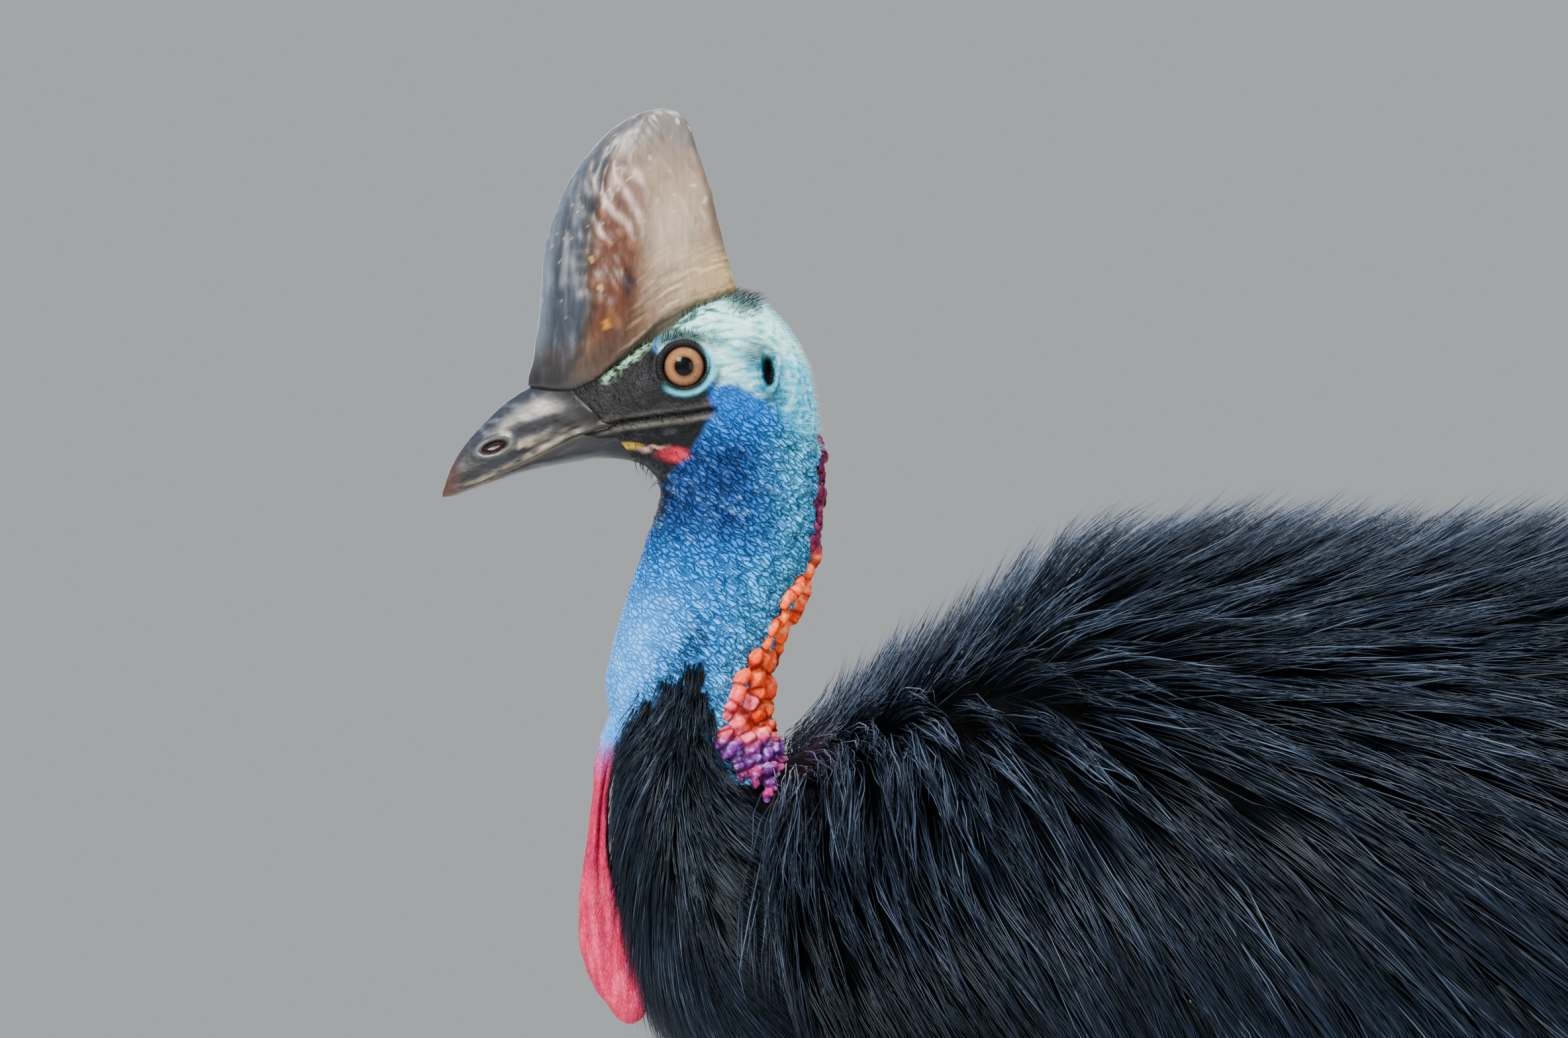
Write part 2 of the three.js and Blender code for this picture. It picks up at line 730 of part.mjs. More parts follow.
function torsoForm(inset) {
  const steps = 15;
  const around = 14;
  const rings = [];
  const first = TORSO_FRONT + inset;
  const length = TORSO_BACK - TORSO_FRONT - 2 * inset;
  for (let i = 0; i <= steps; i += 1) {
    const even = i / steps;
    const round = (1 - Math.cos(Math.PI * even)) / 2;
    const x = first + length * (0.35 * even + 0.65 * round);
    const { top, bottom, half, widest } = torsoSection(x, inset);
    if (half < 1) {
      rings.push([new THREE.Vector3(x, 0, widest)]);
      continue;
    }
    rings.push(
      Array.from({ length: around }, (_, j) => {
        const angle = (2 * Math.PI * j) / around;
        const [y, z] = ovalPoint(angle, half, top - widest, widest - bottom, TORSO_POWER);
        return new THREE.Vector3(x, y, widest + z);
      }),
    );
  }
  return loft(rings);
}

const SIDEWAYS = new THREE.Vector3(0, 1, 0);
const UPWARDS = new THREE.Vector3(0, 0, 1);
const BACKWARDS = new THREE.Vector3(1, 0, 0);

const torsoCarrier = carrier({
  power: TORSO_POWER,
  placeOf: (p) => THREE.MathUtils.clamp(p.x, CORE_FRONT + 4, CORE_BACK - 4),
  section: (x) => {
    const { top, bottom, half, widest } = torsoSection(x, TORSO_COAT.depth);
    return {
      centre: new THREE.Vector3(x, 0, widest),
      side: SIDEWAYS,
      up: UPWARDS,
      across: half,
      above: top - widest,
      below: widest - bottom,
    };
  },
});

const neckCarrier = carrier({
  power: 2.15,
  placeOf: (p) => p.z,
  section: (z) => {
    const [front, back, half] = neckCurve(z);
    const inset = neckCoatDepth(z);
    return {
      centre: new THREE.Vector3((front + back) / 2, 0, z),
      side: SIDEWAYS,
      up: BACKWARDS,
      across: half - inset,
      above: (back - front) / 2 - inset,
      below: (back - front) / 2 - inset,
    };
  },
});

// How steeply the coat falls, in degrees below level
const LIE = { back: 4, belly: 62, breast: 88, rump: 26, under: 6 };

function torsoLie(p, out = torsoCarrier.outward(p)) {
  const { top, bottom } = torsoSection(p.x, TORSO_COAT.depth);
  const { clamp, degToRad, lerp, smoothstep } = THREE.MathUtils;
  const drop = clamp((top - p.z) / (top - bottom), 0, 1) ** 0.75;
  const breast = (1 - smoothstep(p.x, -450, -330)) * (1 - smoothstep(p.z, 760, 860));
  const rump = LIE.rump * smoothstep(p.x, 250, 480);
  const side = lerp(lerp(LIE.back, LIE.belly, drop), LIE.breast, breast) + rump;
  const underneath = smoothstep(-out.z, 0.45, 0.8) * (1 - smoothstep(p.x, 180, 360));
  const slope = lerp(side, LIE.under, underneath);
  return new THREE.Vector3(Math.cos(degToRad(slope)), 0, -Math.sin(degToRad(slope)));
}

// The neck's plumage fans out as it falls, forwards ahead of its crown and back behind it
function neckLie(p) {
  const fan = THREE.MathUtils.clamp((p.x + 430) * 0.0225, -0.45, 1);
  return new THREE.Vector3(fan, 0, -1).normalize();
}

// Height of the lower edge of the neck at a place along the breast
function edgeHeight(x) {
  const edge = BREAST_EDGE.slice(0, 4);
  const i = edge.findIndex((point) => point[0] >= x);
  if (i <= 0) return i === 0 ? edge[0][1] : Infinity;
  const [a, b] = [edge[i - 1], edge[i]];
  return THREE.MathUtils.mapLinear(x, a[0], b[0], a[1], b[1]);
}

const belongsToNeck = (p) => p.x < -390 && p.z > edgeHeight(p.x) + 6;

function torsoLocks() {
  const random = randomFrom(29);
  const candidate = () => {
    const x = THREE.MathUtils.lerp(CORE_FRONT + 8, CORE_BACK - 6, random());
    const { top, bottom, half, widest } = torsoSection(x, TORSO_COAT.depth);
    const [y, z] = ovalPoint(2 * Math.PI * random(), half, top - widest, widest - bottom, TORSO_POWER);
    const p = new THREE.Vector3(x, y, widest + z);
    if (neckCarrier.level(p) < 1.04 && p.x < -330) return null;
    return belongsToNeck(p) ? null : p;
  };
  // Past the rump and below the flank the locks leave the body and hang
  const pastEnd = (p) => p.x > CORE_BACK - 40;
  return spreadRoots(candidate, 9000, TORSO_COAT, torsoLie).map((root) => {
    const even = TORSO_COAT.length * (0.88 + 0.24 * random());
    const length = Math.min(even, Math.max(1.3 * (root.z - LOWEST_TIP), 0.6 * even));
    const fromBelow = torsoCarrier.outward(root).z < LEAVES_BODY;
    const free = (p, out) => pastEnd(p) || (!fromBelow && out.z < LEAVES_BODY);
    return lockPath(torsoCarrier, root, { length, lie: torsoLie, depth: TORSO_COAT.depth, free });
  });
}

// The neck's plumage reaches highest on its side, and ends lower at the front and towards the nape
const NECK_PLUMAGE = { x: -430, top: 924, frontX: -492, frontTop: 858, napeX: -395, napeTop: 850 };

function neckPlumageTop(x) {
  const { x: crown, top, frontX, frontTop, napeX, napeTop } = NECK_PLUMAGE;
  const [endX, endTop] = x < crown ? [frontX, frontTop] : [napeX, napeTop];
  return THREE.MathUtils.mapLinear(x, crown, endX, top, endTop);
}

function neckLocks() {
  const random = randomFrom(5);
  const candidate = () => {
    const z = THREE.MathUtils.lerp(712, 922, random());
    const [front, back, half] = neckCurve(z);
    const reach = (back - front) / 2;
    const inset = neckCoatDepth(z);
    const [y, x] = ovalPoint(2 * Math.PI * random(), half - inset, reach - inset, reach - inset, 2.15);
    const p = new THREE.Vector3((front + back) / 2 + x, y, z);
    if (p.z > neckPlumageTop(p.x) || torsoCarrier.level(p) < 1) return null;
    const underWattles = p.x < -470 && Math.abs(p.y) < 22 && p.z > 780;
    return underWattles ? null : p;
  };
  return spreadRoots(candidate, 6000, NECK_COAT, neckLie).map((root) => {
    const length = NECK_COAT.length * (0.86 + 0.28 * random());
    const path = lockPath(neckCarrier, root, { length, lie: neckLie, depth: NECK_COAT.depth + 1.5 });
    return { root, path };
  });
}

// Legs

function legPlaces(sign) {
  const footX = sign < 0 ? LEG.leftFootX : LEG.rightFootX;
  const y = sign * LEG.spread;
  const hock = new THREE.Vector3(footX + LEG.hockBehindFoot, y, LEG.hockHeight);
  return {
    foot: new THREE.Vector3(footX, y, LEG.footHeight),
    hock,
    knee: new THREE.Vector3(hock.x - LEG.kneeAheadOfHock, y * 1.12, LEG.kneeHeight),
  };
}

// The drumstick, thick under the plumage and bare above the hock: share of the way down, half sizes
const THIGH_ROWS = [
  [0, 66, 58],
  [0.2, 70, 60],
  [0.45, 56, 49],
  [0.66, 40, 36],
  [0.82, 30, 28],
  [0.93, 26, 27],
  [1, 27, 29],
];

function thighCore(sign, grow = 0) {
  const { hock, knee } = legPlaces(sign);
  const stations = THIGH_ROWS.map(([t, up, side]) => ({
    at: knee.clone().lerp(hock, t),
    up: up - THIGH_COAT.depth * (1 - t),
    side: side - THIGH_COAT.depth * (1 - t),
  }));
  return limb(stations, { around: 10, grow });
}

function thighLocks(sign) {
  const { hock, knee } = legPlaces(sign);
  const curve = through(THIGH_ROWS);
  const down = hock.clone().sub(knee);
  const reach = down.length();
  down.normalize();
  const side = SIDEWAYS.clone().addScaledVector(down, -SIDEWAYS.dot(down)).normalize();
  const up = new THREE.Vector3().crossVectors(side, down).normalize();
  const placeOf = (p) => THREE.MathUtils.clamp(p.clone().sub(knee).dot(down) / reach, 0, 1);
  const form = carrier({
    power: 2,
    placeOf,
    section: (t) => {
      const [high, wide] = curve(t);
      const inset = THIGH_COAT.depth * (1 - t);
      const deep = high - inset;
      return { centre: knee.clone().lerp(hock, t), side, up, across: wide - inset, above: deep, below: deep };
    },
  });
  return THIGH_RINGS.flatMap(({ place, locks, turn }) =>
    Array.from({ length: locks }, (_, i) => {
      const angle = (2 * Math.PI * (i + turn)) / locks;
      const root = knee.clone().lerp(hock, place);
      root.addScaledVector(side, 30 * Math.cos(angle)).addScaledVector(up, 30 * Math.sin(angle));
      const depth = THIGH_COAT.depth;
      return lockPath(form, root, { length: THIGH_COAT.length, lie: () => down.clone(), depth });
    }),
  );
}

function thigh(sign, grow = 0) {
  return joined([thighCore(sign, grow), ...thighLocks(sign).map((path) => lock(path, THIGH_COAT, grow))]);
}

// The shank from above the hock down to the toes: share of the way down, half sizes
const SHANK_ROWS = [
  [-0.1, 12, 12],
  [-0.075, 22, 22],
  [-0.02, 31, 30],
  [0.04, 32.5, 31.5],
  [0.12, 28, 26.5],
  [0.2, 22.5, 20.5],
  [0.45, 19, 16.5],
  [0.75, 19.5, 17.5],
  [0.88, 22, 23],
  [0.96, 25, 27],
  [1, 22, 24],
];

function shank(sign, grow = 0) {
  const { foot, hock } = legPlaces(sign);
  const curve = through(SHANK_ROWS);
  const stations = [];
  const add = (t, ridge) => {
    const [up, side] = curve(t);
    const at = hock.clone().lerp(foot, t);
    at.z -= t * SHANK_SINKS;
    stations.push({ at, up, side, ridge });
  };
  const plate = SCUTES.run / SCUTES.count;
  for (const t of [-0.1, -0.075, -0.02, 0.04]) add(t, 0);
  for (let i = 0; i < SCUTES.count; i += 1) {
    const t = SCUTES.first + plate * i;
    add(t, 0.2);
    add(t + 0.86 * plate, SCUTES.rise);
  }
  for (const t of [0.94, 1]) add(t, 0);
  return limb(stations, { around: 8, grow });
}

// Toes: bearing from straight ahead, length, half width and height at the root, and the claw
const TOES = {
  inner: { turn: -24, length: 92, wide: 17, high: 17, claw: 104, clawWide: 8.5, joints: 3 },
  middle: { turn: 2, length: 158, wide: 19, high: 18, claw: 46, clawWide: 9, joints: 5, heel: 26 },
  outer: { turn: 36, length: 108, wide: 16, high: 16, claw: 38, clawWide: 7.5, joints: 4 },
};

function toeDirection(toe, sign) {
  const turn = THREE.MathUtils.degToRad(toe.turn * sign);
  return new THREE.Vector3(-Math.cos(turn), Math.sin(turn), 0);
}

function toeForm(toe, sign, grow = 0) {
  const { foot } = legPlaces(sign);
  const ahead = toeDirection(toe, sign);
  const stations = [];
  if (toe.heel) {
    const heel = foot.clone().addScaledVector(ahead, -toe.heel);
    stations.push({ at: heel.clone().setZ(8), up: 6, side: 9 });
    stations.push({ at: heel.clone().addScaledVector(ahead, 8).setZ(12), up: 14, side: 18 });
  }
  for (let i = 0; i < toe.joints; i += 1) {
    for (const [share, swell, ridge] of [[0.2, 0.9, 0.4], [0.7, 1, 1.8]]) {
      const t = (i + share) / toe.joints;
      const high = toe.high * (1 - 0.34 * t) * swell;
      stations.push({
        at: foot.clone().addScaledVector(ahead, toe.length * t).setZ(high - 2.2),
        up: high,
        side: toe.wide * (1 - 0.3 * t) * swell,
        ridge,
      });
    }
  }
  const end = foot.clone().addScaledVector(ahead, toe.length + 5).setZ(toe.high * 0.55);
  stations.push({ at: end, up: toe.high * 0.4, side: toe.wide * 0.42 });
  return limb(stations, { around: 6, power: 2.3, grow, hint: new THREE.Vector3(-ahead.y, ahead.x, 0) });
}

function clawForm(toe, sign, grow = 0) {
  const { foot } = legPlaces(sign);
  const ahead = toeDirection(toe, sign);
  const start = foot.clone().addScaledVector(ahead, toe.length - 12);
  const stations = [];
  const steps = 5;
  for (let i = 0; i <= steps; i += 1) {
    const t = i / steps;
    const width = toe.clawWide * (1 - t) ** 0.7;
    const arch = 0.25 * Math.sin(Math.PI * Math.min(t * 1.1, 1));
    const height = toe.high * (0.62 + arch - 0.52 * t * t);
    stations.push({
      at: start.clone().addScaledVector(ahead, (toe.claw + 12) * t).setZ(Math.max(height, 1.6)),
      up: Math.max(width * 1.15, 0.3),
      side: Math.max(width, 0.3),
    });
  }
  return limb(stations, { around: 6, grow, hint: new THREE.Vector3(-ahead.y, ahead.x, 0) });
}

const belowFloor = block([[-900, -300], [900, -300], [900, 0], [-900, 0]]);

function makeLeg(side, sign) {
  const cut = (solid, others) => largest(solid.subtract(joined([...others, belowFloor])));
  const { hock } = legPlaces(sign);
  const hockCut = sidesOf([[hock.x - 120, hock.z + 10], [hock.x + 120, hock.z + 22]]);
  nodes[`thigh_${side}`] = largest(thigh(sign).intersect(hockCut.above));
  nodes[`shank_${side}`] = largest(
    joined([shank(sign), thighCore(sign)]).intersect(hockCut.below).subtract(belowFloor),
  );
  const shankGrown = shank(sign, GAP);
  const middleGrown = toeForm(TOES.middle, sign, GAP);
  for (const [name, toe] of Object.entries(TOES)) {
    const others = name === "middle" ? [] : [middleGrown];
    const claw = clawForm(toe, sign, GAP);
    nodes[`toe_${name}_${side}`] = cut(toeForm(toe, sign), [shankGrown, claw, ...others]);
    nodes[`claw_${name}_${side}`] = cut(clawForm(toe, sign), []);
  }
}

// Wings: a short finger of flesh on the flank with bare quills that hang back along the plumage

// Half the width of the plumage at a place on its side, raised off it
function flank(x, z, raise) {
  const { top, bottom, half, widest } = torsoSection(x, 0);
  const reach = z > widest ? top - widest : widest - bottom;
  const share = Math.min(Math.abs(z - widest) / reach, 0.995);
  return (half + raise) * (1 - share ** 2.2) ** (1 / 2.2);
}

function wing(sign, grow = 0) {
  const arm = [];
  for (let i = 0; i <= 3; i += 1) {
    const t = i / 3;
    const x = WING.x + WING.length * t;
    const z = WING.z - WING.drop * t;
    const size = WING.thick * (1 - 0.4 * t);
    arm.push({
      at: new THREE.Vector3(x, sign * flank(x, z, -9), z),
      up: size,
      side: size * 0.7,
    });
  }
  const pieces = [limb(arm, { around: 7, grow })];
  for (let q = 0; q < QUILL.count; q += 1) {
    const share = q / (QUILL.count - 1);
    const from = { x: WING.x + 40 + 46 * share, z: WING.z - 24 - 18 * share };
    const quill = [];
    for (let i = 0; i <= 4; i += 1) {
      const t = i / 4;
      const length = QUILL.length * (0.72 + 0.28 * Math.sin(Math.PI * (0.2 + 0.6 * share)));
      const x = from.x + length * t * (0.74 + 0.2 * share);
      const z = from.z - length * t * (0.62 - 0.34 * share) - 14 * share * t * t;
      const radius = QUILL.radius * (1 - 0.75 * t);
      const raise = THREE.MathUtils.lerp(-6, 5 + 1.5 * q, Math.min(1, t * 7));
      quill.push({ at: new THREE.Vector3(x, sign * flank(x, z, raise), z), up: radius, side: radius });
    }
    pieces.push(limb(quill, { around: 4, grow }));
  }
  return joined(pieces);
}

function makeBody() {
  const neckAndHead = headWithNeck();
  const folds = napePad(NAPE.lobesOut + 1, GAP);
  const wattles = joined([-1, 1].map((sign) => wattle(sign, GAP)));
  const wings = joined([-1, 1].map((sign) => wing(sign, GAP)));
  const thighs = joined([-1, 1].map((sign) => thigh(sign, GAP)));
  const core = joined([neckAndHead, torsoForm(TORSO_COAT.depth)]);
  const neck = neckLocks();
  const onNeck = neck.filter(({ root }) => belongsToNeck(root)).map(({ path }) => path);
  const onBreast = neck.filter(({ root }) => !belongsToNeck(root)).map(({ path }) => path);
  const bareNeck = neckAndHead.intersect(cuts.throat.below).intersect(cuts.neck.above);
  nodes.neck_upper = largest(bareNeck.subtract(folds));
  const neckCore = core.intersect(cuts.breast.above);
  const neckCoat = joined([neckCore, ...onNeck.map((path) => lock(path, NECK_COAT))]);
  nodes.neck_lower = largest(neckCoat.intersect(cuts.neck.below).subtract(joined([folds, wattles])));

  const tail = sidesAcross([[TAIL_X, 900], [TAIL_X, 500]]);
  const coat = torsoLocks();
  const onTail = coat.filter((path) => path[0].at.x > TAIL_X);
  const onTorso = coat.filter((path) => path[0].at.x <= TAIL_X);
  const back = BREAST_BACK + GAP;
  const beyondEdge = block([[back, 400], [700, 400], [700, 1100], [back, 1100]]);
  const behindNeck = core.intersect(joined([cuts.breast.below, beyondEdge]));
  const torsoCore = behindNeck.intersect(tail.ahead);
  const torsoCoat = [
    ...onTorso.map((path) => lock(path, TORSO_COAT)),
    ...onBreast.map((path) => lock(path, NECK_COAT)),
  ];
  const neckLocksGrown = onNeck.map((path) => lock(path, NECK_COAT, LOCK_GAP));
  const hollows = joined([wattles, folds, wings, thighs, ...neckLocksGrown]);
  nodes.torso = largest(joined([torsoCore, ...torsoCoat]).subtract(joined([hollows, aboveNeck()])));
  const overTail = onTorso.filter((path) => path.some(({ at }) => at.x > TAIL_X - TORSO_COAT.width / 2));
  const overTailGrown = joined([nodes.torso, ...overTail.map((path) => lock(path, TORSO_COAT, LOCK_GAP))]);
  const tailLocks = onTail.map((path) => lock(path, TORSO_COAT));
  const tailCoat = joined([behindNeck.intersect(tail.behind), ...tailLocks]);
  nodes.tail = largest(tailCoat.subtract(overTailGrown).intersect(tail.behind));
  nodes.nape_folds = largest(napeFolds());
  for (const { side, sign } of SIDES) {
    nodes[`wattle_${side}`] = largest(wattle(sign));
    nodes[`wing_${side}`] = largest(wing(sign));
  }
}

makeHead();
makeBody();
for (const { side, sign } of SIDES) makeLeg(side, sign);

// Colours and finish of each kind of surface
const FINISHES = {
  plumage: { color: 0x10151b, roughness: 0.62, metalness: 0 },
  blue_skin: { color: 0x3f86c8, roughness: 0.6, metalness: 0 },
  pale_skin: { color: 0x9fd6d8, roughness: 0.6, metalness: 0 },
  casque_horn: { color: 0x9a8273, roughness: 0.38, metalness: 0 },
  bill_horn: { color: 0x55565c, roughness: 0.35, metalness: 0 },
  wattle_skin: { color: 0xd8506f, roughness: 0.55, metalness: 0 },
  fold_skin: { color: 0xe8642e, roughness: 0.5, metalness: 0 },
  eye: { color: 0x9c6a3c, roughness: 0.08, metalness: 0 },
  leg_scales: { color: 0x6d6a5f, roughness: 0.6, metalness: 0 },
  claw_horn: { color: 0x1d1b1a, roughness: 0.35, metalness: 0 },
};

function finishOf(name) {
  if (name.startsWith("eye_")) return FINISHES.eye;
  if (name.startsWith("bill_")) return FINISHES.bill_horn;
  if (name.startsWith("wattle_")) return FINISHES.wattle_skin;
  if (name.startsWith("claw_")) return FINISHES.claw_horn;
  if (name.startsWith("shank_") || name.startsWith("toe_")) return FINISHES.leg_scales;
  const single = {
    casque: FINISHES.casque_horn,
    head: FINISHES.pale_skin,
    neck_upper: FINISHES.blue_skin,
    nape_folds: FINISHES.fold_skin,
  };
  return single[name] ?? FINISHES.plumage;
}

function meshOf(name, solid) {
  const { vertProperties, triVerts, numProp } = solid.getMesh();
  const positions = new Float32Array((vertProperties.length / numProp) * 3);
  for (let i = 0; i * numProp < vertProperties.length; i += 1) {
    positions.set(vertProperties.subarray(i * numProp, i * numProp + 3), 3 * i);
  }
  const geometry = new THREE.BufferGeometry();
  geometry.setAttribute("position", new THREE.BufferAttribute(positions, 3));
  geometry.setIndex(new THREE.BufferAttribute(triVerts, 1));
  const mesh = new THREE.Mesh(geometry, new THREE.MeshStandardMaterial(finishOf(name)));
  mesh.name = name;
  return mesh;
}

const cassowary = new THREE.Group();
for (const [name, solid] of Object.entries(nodes)) cassowary.add(meshOf(name, solid));

// The origin is on the floor below the middle of the whole bird
const reach = new THREE.Box3().setFromObject(cassowary);
cassowary.position.set(-(reach.min.x + reach.max.x) / 2, -(reach.min.y + reach.max.y) / 2, 0);

export default cassowary;
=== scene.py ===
# A southern cassowary, life size, standing still, dressed for a studio picture.
# The bird is measured in its own millimetres and faces -X. Its meshes are in metres, in the frame's place.

import json
import math

import bpy
import numpy as np
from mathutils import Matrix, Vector, noise

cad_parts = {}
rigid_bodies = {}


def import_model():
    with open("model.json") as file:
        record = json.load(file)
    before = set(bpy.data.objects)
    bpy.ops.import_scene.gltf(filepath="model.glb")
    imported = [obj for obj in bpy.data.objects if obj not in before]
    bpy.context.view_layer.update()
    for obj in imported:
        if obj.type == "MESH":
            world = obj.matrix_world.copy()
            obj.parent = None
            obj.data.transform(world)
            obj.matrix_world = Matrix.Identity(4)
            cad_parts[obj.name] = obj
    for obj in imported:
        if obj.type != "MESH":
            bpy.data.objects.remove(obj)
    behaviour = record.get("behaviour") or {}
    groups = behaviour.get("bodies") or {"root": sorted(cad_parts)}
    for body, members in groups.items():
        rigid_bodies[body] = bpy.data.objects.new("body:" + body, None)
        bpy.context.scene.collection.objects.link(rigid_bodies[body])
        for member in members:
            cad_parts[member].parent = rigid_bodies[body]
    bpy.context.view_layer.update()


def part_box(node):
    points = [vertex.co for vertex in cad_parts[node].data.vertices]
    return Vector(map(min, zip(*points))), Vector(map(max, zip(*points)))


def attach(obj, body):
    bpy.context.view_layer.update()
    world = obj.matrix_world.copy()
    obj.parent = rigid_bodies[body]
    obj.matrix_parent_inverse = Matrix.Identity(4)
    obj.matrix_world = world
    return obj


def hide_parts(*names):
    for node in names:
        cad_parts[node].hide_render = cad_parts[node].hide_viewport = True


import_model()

eye_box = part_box("eye_left")

# Driving sizes, in millimetres unless a name says otherwise
SIDES = (("left", -1), ("right", 1))
EYE_X, EYE_Y, EYE_Z, EYE_RADIUS = -443.2, 21.5, 1090.0, 15.5
EAR_X, EAR_Z, EAR_TILT, EAR_HALF_X, EAR_HALF_Z, EAR_RIM = -392.6, 1087, 0.2, 4.6, 12.6, 2.0
NOSTRIL_X, NOSTRIL_Z, NOSTRIL_TILT, NOSTRIL_HALF_X, NOSTRIL_HALF_Z = -558.0, 1042.0, 0.33, 9.0, 3.8
SHIFT_X = (eye_box[0][0] + eye_box[1][0]) * 500 - EYE_X  # from the bird's own place to the frame's
METRE = 0.001
PHOTO_MM = 0.40  # of the bird to each pixel of a picture 2368 wide
PHOTO_WIDTH = 2368
VIEW_CENTRE_X, VIEW_CENTRE_Z = -383.2, 998.4
CAMERA_DISTANCE = 5300
SENSOR = 36.0
FLOOR_RADIUS, FLOOR_SIDES = 7000, 96
WATTLE_OUT = 10.5  # each wattle's place beside the middle
TORSO_COAT_DEPTH, NECK_COAT_DEPTH, THIGH_COAT_DEPTH = 30.0, 9.0, 10.0
COAT_LOW, COAT_HIGH = (-589.0, -232.2, 1.0), (598.0, 232.2, np.inf)  # no strand reaches past these
STRAND_PIECE = 12000  # strands to a piece, so that each stays under 200,000 triangles
GUIDE_STEPS = 9  # steps of the path that a clump of strands follows
STRAND_PLACES = np.array([0.0, 0.4, 0.75, 1.0])  # of the rings of a strand, from root to tip

NECK_ROWS = [  # height, front, back and half width
    (640, -404, -280, 58), (680, -442, -284, 84), (715, -463, -298, 90), (750, -475, -318, 85),
    (790, -486, -346, 72), (832, -491, -374, 60), (868, -494, -390, 51), (892, -492.5, -395, 46),
    (912, -489, -392, 42.5), (932, -484, -383, 40), (952, -478, -374, 38.5), (984, -467, -364, 36.5),
    (1012, -458, -362, 34.5), (1030, -461, -361, 33), (1050, -466, -362, 33), (1068, -470, -364, 34.5),
    (1084, -470, -367.5, 34.5), (1098, -466, -373, 32.5), (1112, -458, -382, 28.5), (1124, -446, -392, 20),
    (1131, -434, -402, 10), (1133.5, -418, -418, 0.1),
]
FACE_ROWS = [  # place, top, bottom, widest height and half width
    (-589.6, 1014.5, 1011.5, 1012.8, 1), (-584.4, 1029, 1011.6, 1015, 5),
    (-574.8, 1043.8, 1014.5, 1018, 7.6), (-563, 1056.8, 1018.6, 1023, 9.8),
    (-551.8, 1067.4, 1022.6, 1029, 11.6), (-537, 1077, 1027.2, 1037, 14.2),
    (-519, 1084, 1030.8, 1045, 17.6), (-503, 1092, 1033.4, 1052, 21.6), (-486.5, 1101, 1035, 1060, 26),
    (-470, 1110, 1031.5, 1068, 30), (-455, 1118, 1020, 1074, 32.8), (-440, 1124, 1010, 1078, 34),
    (-422, 1124, 1005, 1078, 33), (-405, 1116, 1010, 1074, 28),
]
CASQUE_ROWS = [  # height, front, back and half width
    (1066, -528, -480, 11), (1078, -537, -458, 17), (1099, -533.4, -432, 22), (1125, -530.8, -411, 23.5),
    (1143, -529, -413.4, 21.5), (1158, -528, -417.6, 19), (1174, -524.4, -421.8, 16.8),
    (1191, -518.6, -426, 15), (1208, -509.8, -431, 13.4), (1223, -498, -436, 11.8),
    (1236, -483.5, -440.8, 9.4), (1243.6, -470.6, -447.6, 6.2), (1246.6, -458, -458, 0.1),
]
TORSO_ROWS = [  # the outline of the plumage out to its tips: place, top, bottom and half width
    (-468, 732, 732, 0), (-456, 790, 686, 46), (-440, 838, 648, 76), (-405, 884, 600, 112),
    (-362, 902, 560, 142), (-322, 928, 536, 162), (-284, 955, 520, 178), (-246, 981, 508, 190),
    (-198, 1003, 499, 202), (-100, 1008, 490, 218), (0, 1006, 484, 228), (100, 1006, 482, 234),
    (200, 996, 486, 230), (300, 964, 496, 210), (390, 904, 514, 174), (455, 834, 540, 132),
    (500, 762, 578, 82), (522, 672, 672, 0),
]
WATTLE_ROWS = [  # height, front, back and half thickness
    (694, -478, -474, 0.5), (697, -483, -469, 3.6), (703, -488, -466.5, 5.6), (718, -498.5, -467, 7.4),
    (744, -506.6, -474.5, 8), (773, -505.8, -484, 7.2), (799, -503.2, -489, 5.8),
    (833, -498.6, -488.5, 4.8), (862, -495.5, -482, 4.6), (880, -489, -480, 4.2),
]
CASQUE_EDGE = [  # places and heights of the line where the casque leaves the head
    (-560, 1081), (-537, 1078.5), (-509.4, 1077), (-496, 1083), (-486.5, 1092), (-470, 1106),
    (-458.8, 1117), (-437.6, 1128), (-413, 1136), (-380, 1141),
]
BILL_EDGE = [(980, -468), (1000, -470), (1034, -474), (1050, -484), (1062, -497), (1076, -511), (1110, -535)]
MOUTH_LINE = [  # places and heights
    (-600, 1009.5), (-588, 1012.2), (-578.8, 1015.6), (-564, 1021.6), (-546.9, 1030), (-532.2, 1037.3),
    (-509, 1048.3), (-493, 1053.6), (-478.4, 1056.5), (-460, 1059), (-441.6, 1061.2), (-423.3, 1064.2),
]
GAPE_X = -423.3
NAPE_SPREAD = [  # heights, and how far round the neck the folds reach
    (820, 0.6), (845, 0.92), (860, 1.04), (880, 1.02), (893, 0.9), (905, 0.76), (915, 0.66), (935, 0.55),
    (955, 0.46), (970, 0.3), (984, 0.24), (1044, 0.14),
]


# Numbers and curves

def smoothstep(value, low, high):
    t = np.clip((value - low) / (high - low), 0, 1)
    return t * t * (3 - 2 * t)


def fall(value, low, high):
    return 1 - smoothstep(value, low, high)


def ridge(distance, width):
    """1 on a line, fading away on both sides of it over about the width."""
    return np.exp(-((distance / width) ** 2))


def lerp(a, b, t):
    return a + (b - a) * t


def circle(count):
    return np.linspace(0, 2 * math.pi, count, endpoint=False)


def xyz(x, y, z):
    """Points from three coordinates, any of which may be one number for all."""
    return np.stack(np.broadcast_arrays(x, y, z), axis=-1)


def unit(vectors):
    return vectors / np.maximum(np.linalg.norm(vectors, axis=-1, keepdims=True), 1e-9)


def dot(a, b):
    return np.sum(a * b, axis=-1, keepdims=True)


